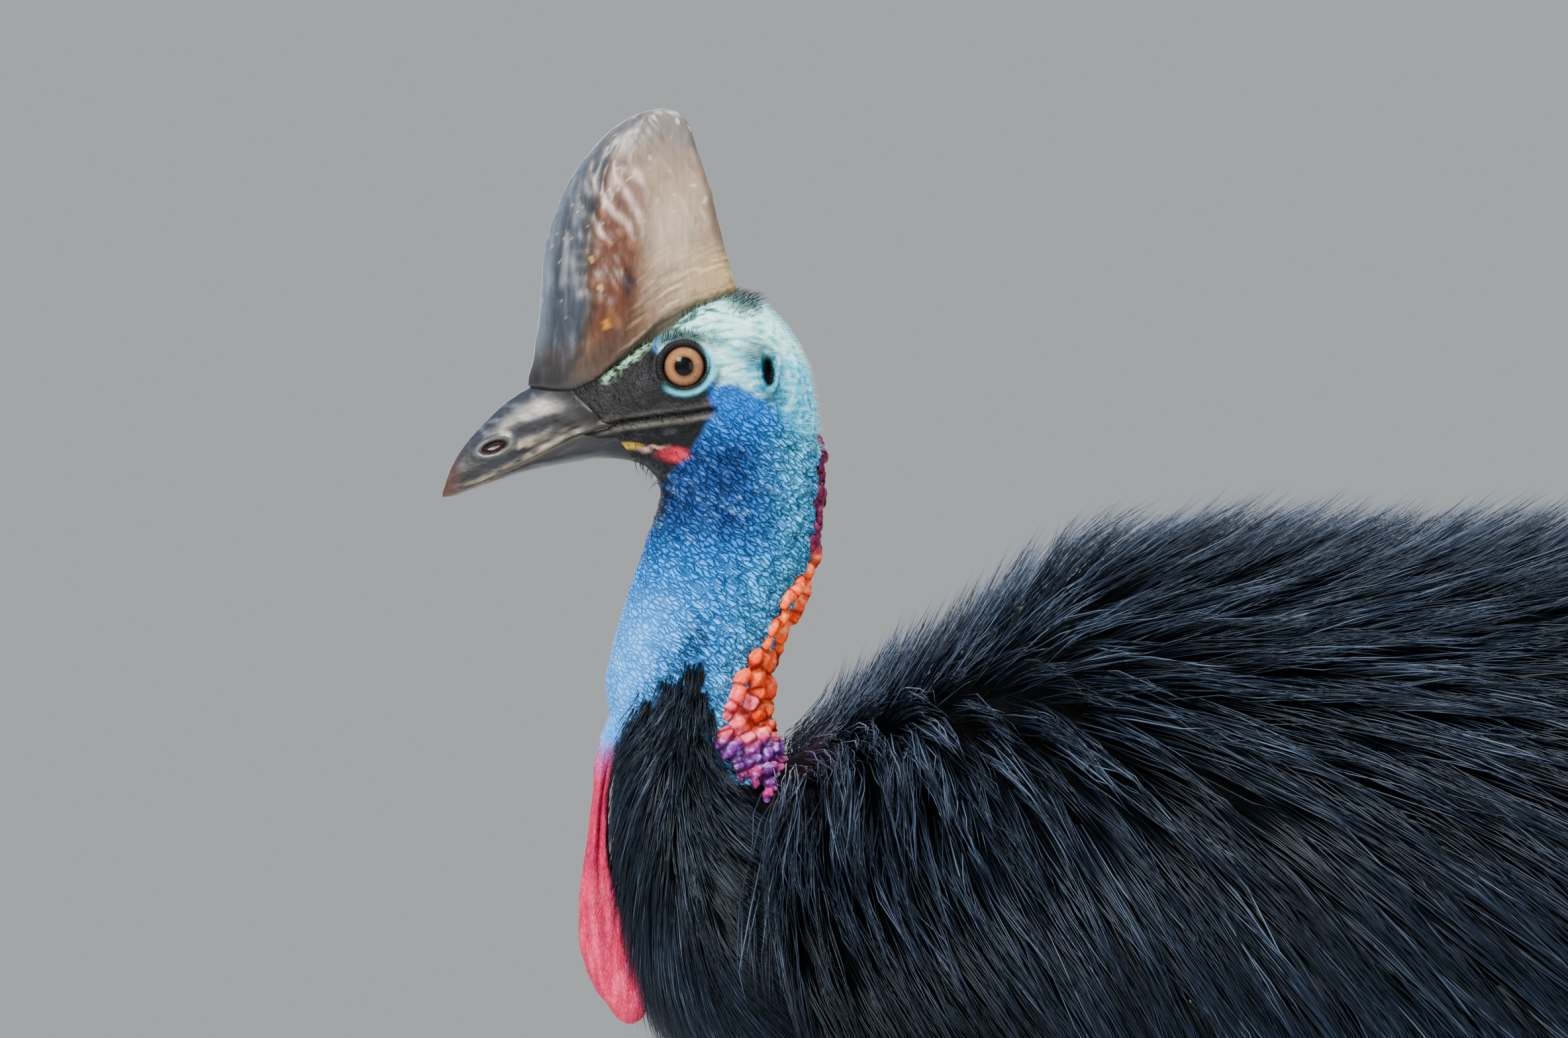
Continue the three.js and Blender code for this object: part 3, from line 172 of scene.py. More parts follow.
def curve(rows):
    """A smooth curve through rows of (place, value, ...), read at many places at once."""
    table = np.array(rows, float)
    at, values = table[:, 0], table[:, 1:]
    slope = np.empty_like(values)
    slope[1:-1] = (values[2:] - values[:-2]) / (at[2:] - at[:-2])[:, None]
    slope[0] = (values[1] - values[0]) / (at[1] - at[0])
    slope[-1] = (values[-1] - values[-2]) / (at[-1] - at[-2])

    def read(places):
        place = np.clip(np.asarray(places, float), at[0], at[-1])
        i = np.clip(np.searchsorted(at, place, side="right") - 1, 0, len(at) - 2)
        span = (at[i + 1] - at[i])[..., None]
        t = (place - at[i])[..., None] / span
        left = (1 + 2 * t) * (1 - t) ** 2 * values[i] + t * (1 - t) ** 2 * span * slope[i]
        right = t * t * (3 - 2 * t) * values[i + 1] + t * t * (t - 1) * span * slope[i + 1]
        return np.moveaxis(left + right, -1, 0)

    return read


def round_ended(rows):
    """The same for a form whose ends are round: its rows are read by angle, as along a half circle."""
    first, last = rows[0][0], rows[-1][0]

    def angle(place):
        return np.arccos(np.clip(1 - 2 * (np.asarray(place, float) - first) / (last - first), -1, 1))

    read = curve([(float(angle(row[0])), *row[1:]) for row in rows])
    return lambda place: read(angle(place))


def along_edge(edge, place, column=1):
    """A column of an edge, read along straight lines between its rows at a place along the first column."""
    rows = np.array(edge, float)
    return np.interp(place, rows[:, 0], rows[:, column])


def oval(angle, across, above, below, power):
    """Points on an oval with the given half sizes: power 2 is an ellipse and a larger one is squarer."""
    c, s = np.cos(angle), np.sin(angle)
    bend = 2 / power
    reach = np.where(s > 0, above, below)
    return across * np.sign(c) * np.abs(c) ** bend, reach * np.sign(s) * np.abs(s) ** bend


neck_curve = curve(NECK_ROWS)
face_curve = curve(FACE_ROWS)
casque_curve = curve(CASQUE_ROWS)
torso_curve = round_ended(TORSO_ROWS)
wattle_curve = curve(WATTLE_ROWS)
nape_spread = curve(NAPE_SPREAD)
NECK_POWER, TORSO_POWER = 2.15, 2.2
TORSO_FRONT, TORSO_BACK = TORSO_ROWS[0][0], TORSO_ROWS[-1][0]
CASQUE_FOOT, CASQUE_TOP = CASQUE_ROWS[0][0], CASQUE_ROWS[-1][0]
WATTLE_END, WATTLE_ROOT = WATTLE_ROWS[0][0], WATTLE_ROWS[-1][0]
NECK_FOOT, NECK_BARE, NECK_CROWN = NECK_ROWS[0][0], 838, NECK_ROWS[-1][0]


def noise_at(points, size, seed=0.0, octaves=1):
    """Smooth noise, about -1 to 1, whose lumps are about size millimetres across."""
    scaled = points / size + seed
    if octaves == 1:
        return np.array([noise.noise(Vector(p)) for p in scaled.tolist()])
    return np.array([noise.fractal(Vector(p), 0.6, 2.0, octaves) for p in scaled.tolist()])


def cells_at(points, size, seed=0.0):
    """How far each point is from the nearest and from the next cell centre, in cells."""
    found = [noise.voronoi(Vector(p))[0][:2] for p in (points / size + seed).tolist()]
    return np.array(found).T


# Meshes

def to_metres(points):
    return (np.asarray(points, float) + (SHIFT_X, 0, 0)) * METRE


def new_object(name, data):
    piece = bpy.data.objects.new(name, data)
    bpy.context.scene.collection.objects.link(piece)
    return piece


def mesh_from(name, points, quads=(), tris=()):
    """An object at the origin from points in the bird's millimetres and the faces between them."""
    points = np.asarray(points, float)
    quads = np.asarray(quads, np.int64).reshape(-1, 4)
    tris = np.asarray(tris, np.int64).reshape(-1, 3)
    if signed_volume(points, quads, tris) < 0:
        quads, tris = quads[:, ::-1], tris[:, ::-1]
    corners = np.concatenate([quads.ravel(), tris.ravel()]).astype(np.int32)
    sizes = np.concatenate([np.full(len(quads), 4), np.full(len(tris), 3)])
    mesh = bpy.data.meshes.new(name)
    mesh.vertices.add(len(points))
    mesh.vertices.foreach_set("co", to_metres(points).astype(np.float32).ravel())
    mesh.loops.add(len(corners))
    mesh.loops.foreach_set("vertex_index", corners)
    mesh.polygons.add(len(sizes))
    starts = np.concatenate([[0], np.cumsum(sizes)[:-1]]).astype(np.int32)
    mesh.polygons.foreach_set("loop_start", starts)
    mesh.polygons.foreach_set("use_smooth", np.ones(len(sizes), bool))
    mesh.update(calc_edges=True)
    return new_object(name, mesh)


def signed_volume(points, quads, tris):
    fans = np.concatenate([tris, quads[:, [0, 1, 2]], quads[:, [0, 2, 3]]])
    a, b, c = (points[fans[:, k]] - points.mean(axis=0) for k in range(3))
    return float(np.sum(a * np.cross(b, c)))


def loft(name, rings):
    """A closed form over rings of points, with a fan of faces over each end."""
    rings = np.asarray(rings, float)
    count, around = rings.shape[:2]
    index = np.arange(count * around).reshape(count, around)
    turned = np.roll(index, -1, axis=1)
    quads = np.stack([index[:-1], turned[:-1], turned[1:], index[1:]], axis=-1).reshape(-1, 4)
    ends = np.stack([rings[0].mean(axis=0), rings[-1].mean(axis=0)])
    first, last = count * around, count * around + 1
    near = np.stack([turned[0], index[0], np.full(around, first)], axis=-1)
    far = np.stack([index[-1], turned[-1], np.full(around, last)], axis=-1)
    return mesh_from(name, np.concatenate([rings.reshape(-1, 3), ends]), quads, np.concatenate([near, far]))


def ring_mesh(name, rings):
    """A closed band of rings of points, each joined to the next and the last to the first."""
    rings = np.asarray(rings, float)
    index = np.arange(rings[..., 0].size).reshape(rings.shape[:2])
    ahead, across = np.roll(index, -1, axis=0), np.roll(index, -1, axis=1)
    quads = np.stack([index, across, np.roll(ahead, -1, axis=1), ahead], axis=-1)
    return mesh_from(name, rings.reshape(-1, 3), quads)


def points_of(piece):
    """The vertices of a piece in the bird's millimetres, and its normals."""
    count = len(piece.data.vertices)
    flat = np.empty(count * 3, np.float32)
    piece.data.vertices.foreach_get("co", flat)
    normals = np.empty(count * 3, np.float32)
    piece.data.vertex_normals.foreach_get("vector", normals)
    points = flat.reshape(-1, 3).astype(float) / METRE - (SHIFT_X, 0, 0)
    return points, normals.reshape(-1, 3).astype(float)


def move_points(piece, points):
    piece.data.vertices.foreach_set("co", to_metres(points).astype(np.float32).ravel())
    piece.data.update()


def applied(piece):
    """The mesh that a piece's modifiers make of it."""
    bpy.context.view_layer.update()
    depsgraph = bpy.context.evaluated_depsgraph_get()
    return bpy.data.meshes.new_from_object(piece.evaluated_get(depsgraph))


def evaluated_mesh(piece):
    """The piece with its modifiers applied, as a plain mesh."""
    mesh, old = applied(piece), piece.data
    piece.modifiers.clear()
    piece.data = mesh
    bpy.data.meshes.remove(old)
    return piece


def joined(name, parts):
    """One object of several meshes, as they lie."""
    points, quads, tris, start = [], [], [], 0
    for part in parts:
        own, _ = points_of(part)
        points.append(own)
        for face in part.data.polygons:
            corners = [start + i for i in face.vertices]
            (quads if len(corners) == 4 else tris).append(corners)
        start += len(own)
        remove(part)
    mesh = bpy.data.meshes.new(name)
    mesh.from_pydata(to_metres(np.concatenate(points)).tolist(), [], quads + tris)
    return new_object(name, mesh)


def remove(piece):
    mesh = piece.data
    bpy.data.objects.remove(piece)
    bpy.data.meshes.remove(mesh)


def fused(name, parts, voxel, smoothing):
    """One closed skin round forms that overlap, with its creases softened."""
    piece = joined(name, parts)
    remesh = piece.modifiers.new("fuse", "REMESH")
    remesh.mode = "VOXEL"
    remesh.voxel_size = voxel * METRE
    remesh.use_smooth_shade = True
    soften = piece.modifiers.new("soften", "SMOOTH")
    soften.factor = 0.5
    soften.iterations = smoothing
    return evaluated_mesh(piece)


def paint(piece, name, values):
    """A colour or a number for each vertex, which the materials read."""
    values, kind, field = np.asarray(values, np.float32), "FLOAT", "value"
    if values.ndim == 2:
        values, kind, field = np.pad(values, ((0, 0), (0, 1)), constant_values=1), "FLOAT_COLOR", "color"
    piece.data.attributes.new(name, kind, "POINT").data.foreach_set(field, values.ravel())


def hand_over(piece, material, slot, *nodes):
    """Every finished piece gets its one material, rides on the one body and hides the parts that it replaces.
    """
    piece.data.materials.clear()
    piece.data.materials.append(material)
    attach(piece, "root")
    if nodes:
        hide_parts(*nodes)
    return piece


# Colours and materials

def linear(colour):
    """An sRGB hex colour as linear light."""
    channels = [int(colour[i:i + 2], 16) / 255 for i in (1, 3, 5)]
    return tuple(c / 12.92 if c <= 0.04045 else ((c + 0.055) / 1.055) ** 2.4 for c in channels)


def new_material(name, roughness, **fixed):
    """A material with one Principled shader whose plain numbers are set on its own sockets."""
    material = bpy.data.materials.new(name)
    material.use_nodes = True
    tree = material.node_tree
    shader = tree.nodes["Principled BSDF"]
    shader.inputs["Roughness"].default_value = roughness
    for socket, value in fixed.items():
        shader.inputs[socket.replace("_", " ")].default_value = value
    return material, tree, shader


def feed(node, inputs):
    """Gives a node its inputs: values, hex colours, sockets, or nodes, which stand for their first output."""
    for key, value in inputs.items():
        socket = node.inputs[key]
        if isinstance(value, bpy.types.Node):
            value = value.outputs[0]
        if isinstance(value, bpy.types.NodeSocket):
            node.id_data.links.new(value, socket)
        elif isinstance(value, str) and value.startswith("#"):
            socket.default_value = (*linear(value), 1)
        else:
            socket.default_value = value
    return node


def add(tree, kind, inputs=(), **settings):
    """Adds a node, with its settings, and gives it its inputs."""
    made = tree.nodes.new(kind)
    for name, value in settings.items():
        setattr(made, name, value)
    return feed(made, dict(inputs))


def body_points(tree):
    return add(tree, "ShaderNodeTexCoord").outputs["Object"]


def feather_material():
    """Feathers like coarse glossy hair: black, with a painted slate-blue highlight on the paler strands,
    painted shade at the roots and painted light at the tips.
    """
    material, tree, shader = new_material("blue-black hair-like feathers", 0.36, Specular_IOR_Level=0.34,
                                          Specular_Tint=(0.7, 0.84, 1.0, 1.0))
    tone = add(tree, "ShaderNodeAttribute", attribute_name="tone").outputs["Fac"]
    reach = add(tree, "ShaderNodeAttribute", attribute_name="reach").outputs["Fac"]
    # Tone differs at random from strand to strand; the pale end of the ramp is a painted slate-blue highlight
    strand = add(tree, "ShaderNodeValToRGB", {"Fac": tone})
    strand.color_ramp.elements[0].color = (*linear("#030406"), 1)
    strand.color_ramp.elements[1].color = (*linear("#566479"), 1)
    for at, colour in [(0.35, "#06090e"), (0.6, "#0e1520"), (0.8, "#1b2739")]:
        strand.color_ramp.elements.new(at).color = (*linear(colour), 1)
    # Painted light makes the tips paler and painted shade darkens the roots
    tip = add(tree, "ShaderNodeMapRange", {"Value": reach, "From Min": 0.45, "From Max": 1.0, "To Max": 0.35})
    colour = add(tree, "ShaderNodeMix", {"Factor": tip, "A": strand, "B": "#263348"}, data_type="RGBA")
    root = add(tree, "ShaderNodeMapRange",
               {"Value": reach, "From Min": 0.05, "From Max": 0.6, "To Min": 0.55, "To Max": 0.98})
    shaded = add(tree, "ShaderNodeVectorMath", {0: colour.outputs[2], "Scale": root}, operation="SCALE")
    feed(shader, {"Base Color": shaded})
    return material


def skin_material(name, grain_mm, relief_mm, roughness, subsurface, crease_mm=3.0, crease_deep_mm=1.6,
                  flow=38):
    """Bare skin: a net of fine creases with painted shade in them and painted light on the cells between, a
    soft sheen broken by grains, and light that goes a little in.
    """
    material, tree, shader = new_material(name, roughness, Subsurface_Weight=subsurface,
                                          Subsurface_Scale=0.003,
                                          Subsurface_Radius=(1.0, 0.35, 0.2), Specular_IOR_Level=0.16)
    place = body_points(tree)
    painted = add(tree, "ShaderNodeAttribute", attribute_name="skin_colour")
    creased = add(tree, "ShaderNodeAttribute", attribute_name="creased").outputs["Fac"]
    wander = add(tree, "ShaderNodeTexNoise", {"Vector": place, "Scale": 130.0, "Detail": 3.0})
    shifted = add(tree, "ShaderNodeVectorMath",
                  {0: wander.outputs["Color"], 1: (0.0045, 0.0045, 0.0045), 2: place},
                  operation="MULTIPLY_ADD")
    drawn = add(tree, "ShaderNodeMapping", {
        "Vector": shifted, "Scale": (2.3, 1.5, 0.75), "Rotation": (0.0, math.radians(flow), 0.0)},
        vector_type="TEXTURE")
    cells = add(tree, "ShaderNodeTexVoronoi", {
        "Vector": drawn, "Scale": 1000 / crease_mm}, feature="DISTANCE_TO_EDGE")
    plump = add(tree, "ShaderNodeMapRange", {
        "Value": cells, "From Max": 0.2}, interpolation_type="SMOOTHSTEP")
    folded = add(tree, "ShaderNodeBump", {
        "Height": plump, "Strength": creased, "Distance": crease_deep_mm * METRE})
    grains = add(tree, "ShaderNodeTexVoronoi", {"Vector": place, "Scale": 1000 / grain_mm}, feature="F1")
    mottle = add(tree, "ShaderNodeTexNoise", {"Vector": place, "Scale": 160.0, "Detail": 4.0})
    shade = add(tree, "ShaderNodeMapRange", {
        "Value": mottle, "From Min": 0.3, "From Max": 0.7, "To Min": 0.84, "To Max": 1.14})
    # Painted shade darkens the crease lines and painted light brightens the cells between them, as strongly
    # as the skin is creased
    hollow = add(tree, "ShaderNodeMath", {0: 1.0, 1: plump}, operation="SUBTRACT")
    dark = add(tree, "ShaderNodeMath", {0: hollow, 1: creased}, operation="MULTIPLY")
    shadow = add(tree, "ShaderNodeMapRange", {"Value": dark, "To Min": 1.2, "To Max": 0.4})
    both = add(tree, "ShaderNodeMath", {0: shade, 1: shadow}, operation="MULTIPLY")
    tinted = add(tree, "ShaderNodeVectorMath", {0: painted, "Scale": both}, operation="SCALE")
    feed(shader, {"Base Color": tinted})
    wet = add(tree, "ShaderNodeMapRange", {
        "Value": grains, "From Max": 0.8, "To Min": roughness - 0.08, "To Max": roughness + 0.14})
    feed(shader, {"Roughness": wet})
    relief = add(tree, "ShaderNodeBump", {
        "Height": grains, "Strength": 0.55, "Distance": relief_mm * METRE, "Normal": folded}, invert=True)
    feed(shader, {"Normal": relief})
    return material


def horn_material(name, roughness, fibre_mm, relief_mm, stretch, coat=0.0):
    """Keratin: dull to polished, with fibres drawn out along the growth and a few scratches."""
    material, tree, shader = new_material(name, roughness, Coat_Weight=coat, Coat_Roughness=0.18,
                                          Specular_IOR_Level=0.36)
    place = body_points(tree)
    painted = add(tree, "ShaderNodeAttribute", attribute_name="horn_colour")
    drawn = add(tree, "ShaderNodeMapping", {"Vector": place, "Scale": stretch})
    fibres = add(tree, "ShaderNodeTexNoise", {
        "Vector": drawn, "Scale": 1000 / fibre_mm, "Detail": 5.0, "Roughness": 0.6})
    shade = add(tree, "ShaderNodeMapRange", {
        "Value": fibres, "From Min": 0.25, "From Max": 0.75, "To Min": 0.78, "To Max": 1.18})
    tinted = add(tree, "ShaderNodeVectorMath", {0: painted, "Scale": shade}, operation="SCALE")
    feed(shader, {"Base Color": tinted})
    worn = add(tree, "ShaderNodeMapRange", {
        "Value": fibres, "From Min": 0.3, "From Max": 0.7, "To Min": roughness - 0.07,
        "To Max": roughness + 0.12})
    matte = add(tree, "ShaderNodeAttribute", attribute_name="matte").outputs["Fac"]
    dulled = add(tree, "ShaderNodeMath", {0: worn, 1: matte}, operation="ADD")
    feed(shader, {"Roughness": dulled})
    relief = add(tree, "ShaderNodeBump", {"Height": fibres, "Strength": 0.5, "Distance": relief_mm * METRE})
    feed(shader, {"Normal": relief})
    return material


def eye_material():
    """A wet eye: a brown iris with darker fibres round a black pupil, under a clear glossy front."""
    material, tree, shader = new_material("wet brown eye", 0.35, Coat_Weight=0.3, Coat_Roughness=0.02,
                                          Coat_IOR=1.38,
                                          Specular_IOR_Level=0.04)
    ring = add(tree, "ShaderNodeAttribute", attribute_name="ring").outputs["Fac"]
    fibre = add(tree, "ShaderNodeAttribute", attribute_name="fibre").outputs["Fac"]
    bands = add(tree, "ShaderNodeValToRGB", {"Fac": ring})
    ramp = bands.color_ramp
    ramp.elements[0].color = (*linear("#07080a"), 1)
    ramp.elements[1].color = (*linear("#0c0d10"), 1)
    for at, colour in [(0.40, "#030304"), (0.425, "#4a2c18"), (0.50, "#7a5232"), (0.62, "#94694a"),
                       (0.80, "#80583c"), (0.88, "#43291a"), (0.915, "#08090b")]:
        ramp.elements.new(at).color = (*linear(colour), 1)
    shade = add(tree, "ShaderNodeMapRange", {"Value": fibre, "To Min": 0.7, "To Max": 1.2})
    tinted = add(tree, "ShaderNodeVectorMath", {0: bands, "Scale": shade}, operation="SCALE")
    feed(shader, {"Base Color": tinted})
    return material


def plain_material(name, colour, darker, size_mm, roughness, relief_mm, **fixed):
    """One colour that drifts to a darker one, over a fine uneven surface."""
    material, tree, shader = new_material(name, roughness, **fixed)
    place = body_points(tree)
    drift = add(tree, "ShaderNodeTexNoise", {"Vector": place, "Scale": 1000 / size_mm, "Detail": 5.0})
    spread = add(tree, "ShaderNodeMapRange", {"Value": drift, "From Min": 0.35, "From Max": 0.65})
    mixed = add(tree, "ShaderNodeMix", {"Factor": spread, "A": darker, "B": colour}, data_type="RGBA")
    feed(shader, {"Base Color": mixed.outputs[2]})
    relief = add(tree, "ShaderNodeBump", {"Height": drift, "Strength": 0.4, "Distance": relief_mm * METRE})
    feed(shader, {"Normal": relief})
    return material


FEATHER = feather_material()
# The body under the coat is painted black and matte, as painted shade in the gaps between the strands
UNDERCOAT_SHADE = plain_material("black woolly undercoat", "#050607", "#030304", 6.0, 0.95, 0.5,
                            Specular_IOR_Level=0.05)
BARE_SKIN = skin_material("rugose bare skin", 1.5, 0.35, 0.5, 0.04)
FOLD_SKIN = skin_material("fleshy lobed skin", 1.3, 0.25, 0.3, 0.15, 2.6, 0.5)
WATTLE_SKIN = skin_material("soft wattle skin", 1.1, 0.4, 0.42, 0.15, 2.0, 0.5, 80)
CASQUE_HORN = horn_material("weathered casque keratin", 0.3, 3.0, 0.25, (1.0, 1.0, 0.22))
BILL_HORN = horn_material("polished bill keratin", 0.27, 2.0, 0.15, (0.35, 1.0, 1.0), 0.1)
EYE_WET = eye_material()
LEG_SCALE = plain_material("dry leg scales", "#6f6c60", "#4a473e", 9.0, 0.55, 0.3)
CLAW_HORN = plain_material("dark polished claw keratin", "#2b2926", "#151413", 5.0, 0.28, 0.1,
                           Coat_Weight=0.3)
QUILL_HORN = plain_material("black quill keratin", "#1b1c20", "#0c0d10", 6.0, 0.3, 0.1, Coat_Weight=0.2)
BRISTLE = plain_material("black head bristles", "#15171b", "#090a0c", 20.0, 0.5, 0.05)
DOWN = plain_material("pale powdery head down", "#b4e4e4", "#6fbfcc", 14.0, 0.75, 0.05)


# Rings of points for forms that follow the curves

def level_rings(read, levels, around, power, inset=0.0):
    """Level sections up a form whose rows give its front, back and half width at each height."""
    z = np.asarray(levels, float)
    front, back, half = (row[:, None] for row in read(z))
    inset = np.asarray(inset, float)[..., None]
    reach = (back - front) / 2 - inset
    y, x = oval(circle(around), half - inset, reach, reach, power)
    return xyz((front + back) / 2 + x, y, z[:, None])


def face_rings(places, around):
    """Upright sections along the face, from the tip of the bill to behind the eye."""
    top, bottom, widest, half = (row[:, None] for row in face_curve(places))
    above, below = np.maximum(top - widest, 0.3), np.maximum(widest - bottom, 0.3)
    y, z = oval(circle(around), np.maximum(half, 0.3), above, below, 1.9)
    return xyz(places[:, None], y, widest + z)


def torso_section(x, inset=TORSO_COAT_DEPTH):
    """Top, bottom, half width and widest height of the body, an inset inside the tips of its plumage."""
    middle, length = (TORSO_FRONT + TORSO_BACK) / 2, TORSO_BACK - TORSO_FRONT
    top, bottom, half = torso_curve(middle + (x - middle) * length / (length - 2 * inset))
    taper = np.minimum(1, half / 60)
    widest = bottom + 0.47 * (top - bottom)
    return top - inset * taper, bottom + inset * taper, half - inset * taper, widest


def torso_rings(places, around, inset):
    top, bottom, half, widest = (row[:, None] for row in torso_section(places, inset))
    y, z = oval(circle(around), half, top - widest, widest - bottom, TORSO_POWER)
    return xyz(places[:, None], y, widest + z)


def limb_rings(centres, up_sizes, side_sizes, around, power=2.0, hint=(0.0, 1.0, 0.0)):
    """Sections square to a path; the hint is the way that sideways lies."""
    centres, hint = np.asarray(centres, float), np.asarray(hint, float)
    along = unit(np.gradient(centres, axis=0))
    side = unit(hint - dot(hint, along) * along)
    up = np.cross(side, along)
    high, wide = np.asarray(up_sizes)[:, None], np.asarray(side_sizes)[:, None]
    s, u = oval(circle(around), wide, high, high, power)
    return centres[:, None] + s[..., None] * side[:, None] + u[..., None] * up[:, None]


def neck_coat_depth(z):
    return NECK_COAT_DEPTH * fall(z, 858, 906)


def on_neck(z, angle, raised=0.0):
    """A point of the neck at a height and an angle from the middle of the nape."""
    front, back, half = neck_curve(z)
    reach = (back - front) / 2 + raised
    y, x = oval(math.pi / 2 + np.asarray(angle, float), half + raised, reach, reach, NECK_POWER)
    return xyz((front + back) / 2 + x, y, z)


# Legs, from the same places as the solids

LEG_OUT, ANKLE_HEIGHT, HOCK_HEIGHT, KNEE_HEIGHT = 88, 46.0, 368.0, 690.0
PLATES, RING_LENGTH = 11, 8.5  # scutes down a shank, and the length of a ring of scales on a toe


def leg_places(sign):
    """The places of ankle, hock and knee. The left foot stands a little ahead of the right."""
    foot_x = 70 if sign < 0 else 136
    hock = np.array([foot_x + 44, sign * LEG_OUT, HOCK_HEIGHT])
    knee = np.array([hock[0] - 150, sign * LEG_OUT * 1.12, KNEE_HEIGHT])
    return np.array([foot_x, sign * LEG_OUT, ANKLE_HEIGHT]), hock, knee


thigh_curve = curve([(0, 66, 58), (0.2, 70, 60), (0.45, 56, 49), (0.66, 40, 36), (0.82, 30, 28),
                     (0.93, 26, 27),
                     (1, 27, 29)])
shank_curve = curve([(-0.1, 12, 12), (-0.075, 22, 22), (-0.02, 31, 30), (0.04, 32.5, 31.5), (0.12, 28, 26.5),
                     (0.2, 22.5, 20.5), (0.45, 19, 16.5), (0.75, 19.5, 17.5), (0.88, 22, 23), (0.96, 25, 27),
                     (1, 22, 24)])
TOES = {
    "inner": dict(turn=-24, length=92, wide=17, high=17, claw=104, claw_wide=8.5, joints=3),
    "middle": dict(turn=2, length=158, wide=19, high=18, claw=46, claw_wide=9, joints=5),
    "outer": dict(turn=36, length=108, wide=16, high=16, claw=38, claw_wide=7.5, joints=4),
}


def toe_way(toe, sign):
    turn = math.radians(toe["turn"] * sign)
    return np.array([-math.cos(turn), math.sin(turn), 0.0])


def thigh_rings(sign, t, inset, around):
    """Sections of a thigh, whose coat runs out towards the hock."""
    _, hock, knee = leg_places(sign)
    up, side = thigh_curve(t)
    return limb_rings(knee + (hock - knee) * t[:, None], up - inset, side - inset, around)


def thigh_form(name, sign, first, last, inset):
    t = np.linspace(first, last, 24)
    return loft(name, thigh_rings(sign, t, inset * (1 - t), 40))


def toe_form(name, toe, sign):
    foot, _, _ = leg_places(sign)
    ahead = toe_way(toe, sign)
    centres, ups, sides = [], [], []
    if name == "middle":
        for back, high, up, side in [(26, 9, 7, 10), (20, 11.5, 11, 15), (12, 13, 13.4, 18)]:
            centres.append(foot - ahead * back + (0, 0, high - ANKLE_HEIGHT))
            ups.append(up)
            sides.append(side)
    for t in np.linspace(0.0, 1.0, 16 * toe["joints"] + 1):
        swell = 0.9 + 0.13 * abs(math.sin(math.pi * t * toe["joints"]))
        high = toe["high"] * (1 - 0.34 * t) * swell
        centres.append(np.array([*(foot + ahead * toe["length"] * t)[:2], high - 2.2]))
        ups.append(high)
        sides.append(toe["wide"] * (1 - 0.3 * t) * swell)
    centres.append(np.array([*(foot + ahead * (toe["length"] + 5))[:2], toe["high"] * 0.55]))
    ups.append(toe["high"] * 0.4)
    sides.append(toe["wide"] * 0.42)
    return loft("toe", limb_rings(centres, ups, sides, 36, 2.3, (-ahead[1], ahead[0], 0)))


def make_leg(side, sign):
    foot, hock, _ = leg_places(sign)
    t = np.linspace(-0.1, 1.0, 60)
    up, wide = shank_curve(t)
    centres = hock + (foot - hock) * t[:, None] - np.array([0, 0, 20.0]) * t[:, None]
    parts = [loft("shank", limb_rings(centres, up, wide, 48))]
    parts += [thigh_form("knuckle", sign, 0.62, 1.0, THIGH_COAT_DEPTH)]
    parts += [toe_form(name, toe, sign) for name, toe in TOES.items()]
    leg = fused(f"leg_{side}", parts, 2.4, smoothing=3)
    points, normals = points_of(leg)
    down = (foot - hock) / np.linalg.norm(foot - hock)
    share = ((points - hock) @ down) / np.linalg.norm(foot - hock)
    front = smoothstep(-normals[:, 0], 0.35, 0.75) * smoothstep(share, 0.1, 0.16) * fall(share, 0.93, 1.0)
    plate = np.mod(share * PLATES, 1.0)
    rise = front * 1.9 * (smoothstep(plate, 0.0, 0.2) - 0.8 * smoothstep(plate, 0.82, 1.0))
    toe_top = np.zeros(len(points))
    for toe in TOES.values():
        ahead = toe_way(toe, sign)
        run = (points - foot) @ ahead
        across = np.abs((points - foot) @ np.array([-ahead[1], ahead[0], 0]))
        on_top = smoothstep(normals[:, 2], 0.45, 0.8) * (across < toe["wide"]) * smoothstep(run, 26, 34)
        on_top = on_top * (points[:, 2] < 60)
        ring = np.mod(run / RING_LENGTH, 1.0)
        toe_top = np.maximum(toe_top,
                             on_top * 1.2 * (smoothstep(ring, 0.0, 0.25) - 0.8 * smoothstep(ring, 0.8, 1.0)))
    points += normals * (rise + toe_top)[:, None]
    points[:, 2] = np.maximum(points[:, 2], 0.0)
    move_points(leg, points)
    pebbly = (1 - np.maximum(front, smoothstep(toe_top, 0.0, 0.3))) * smoothstep(points[:, 2], 2, 8)
    pebbly *= fall(points[:, 2], 400, 430)
    paint(leg, "pebbly", pebbly)
    pebbles = grown_on(leg, f"pebbles_{side}", LEG_SCALE, "pebbly", spacing=5.6, seed=3,
                       shape=pebble_shape, least=0.75, most=1.1)
    hand_over(leg, LEG_SCALE, "leg_scales", f"shank_{side}", *(f"toe_{name}_{side}" for name in TOES))
    hand_over(pebbles, LEG_SCALE, "leg_scales")
    for name, toe in TOES.items():
        make_claw(side, sign, name, toe)


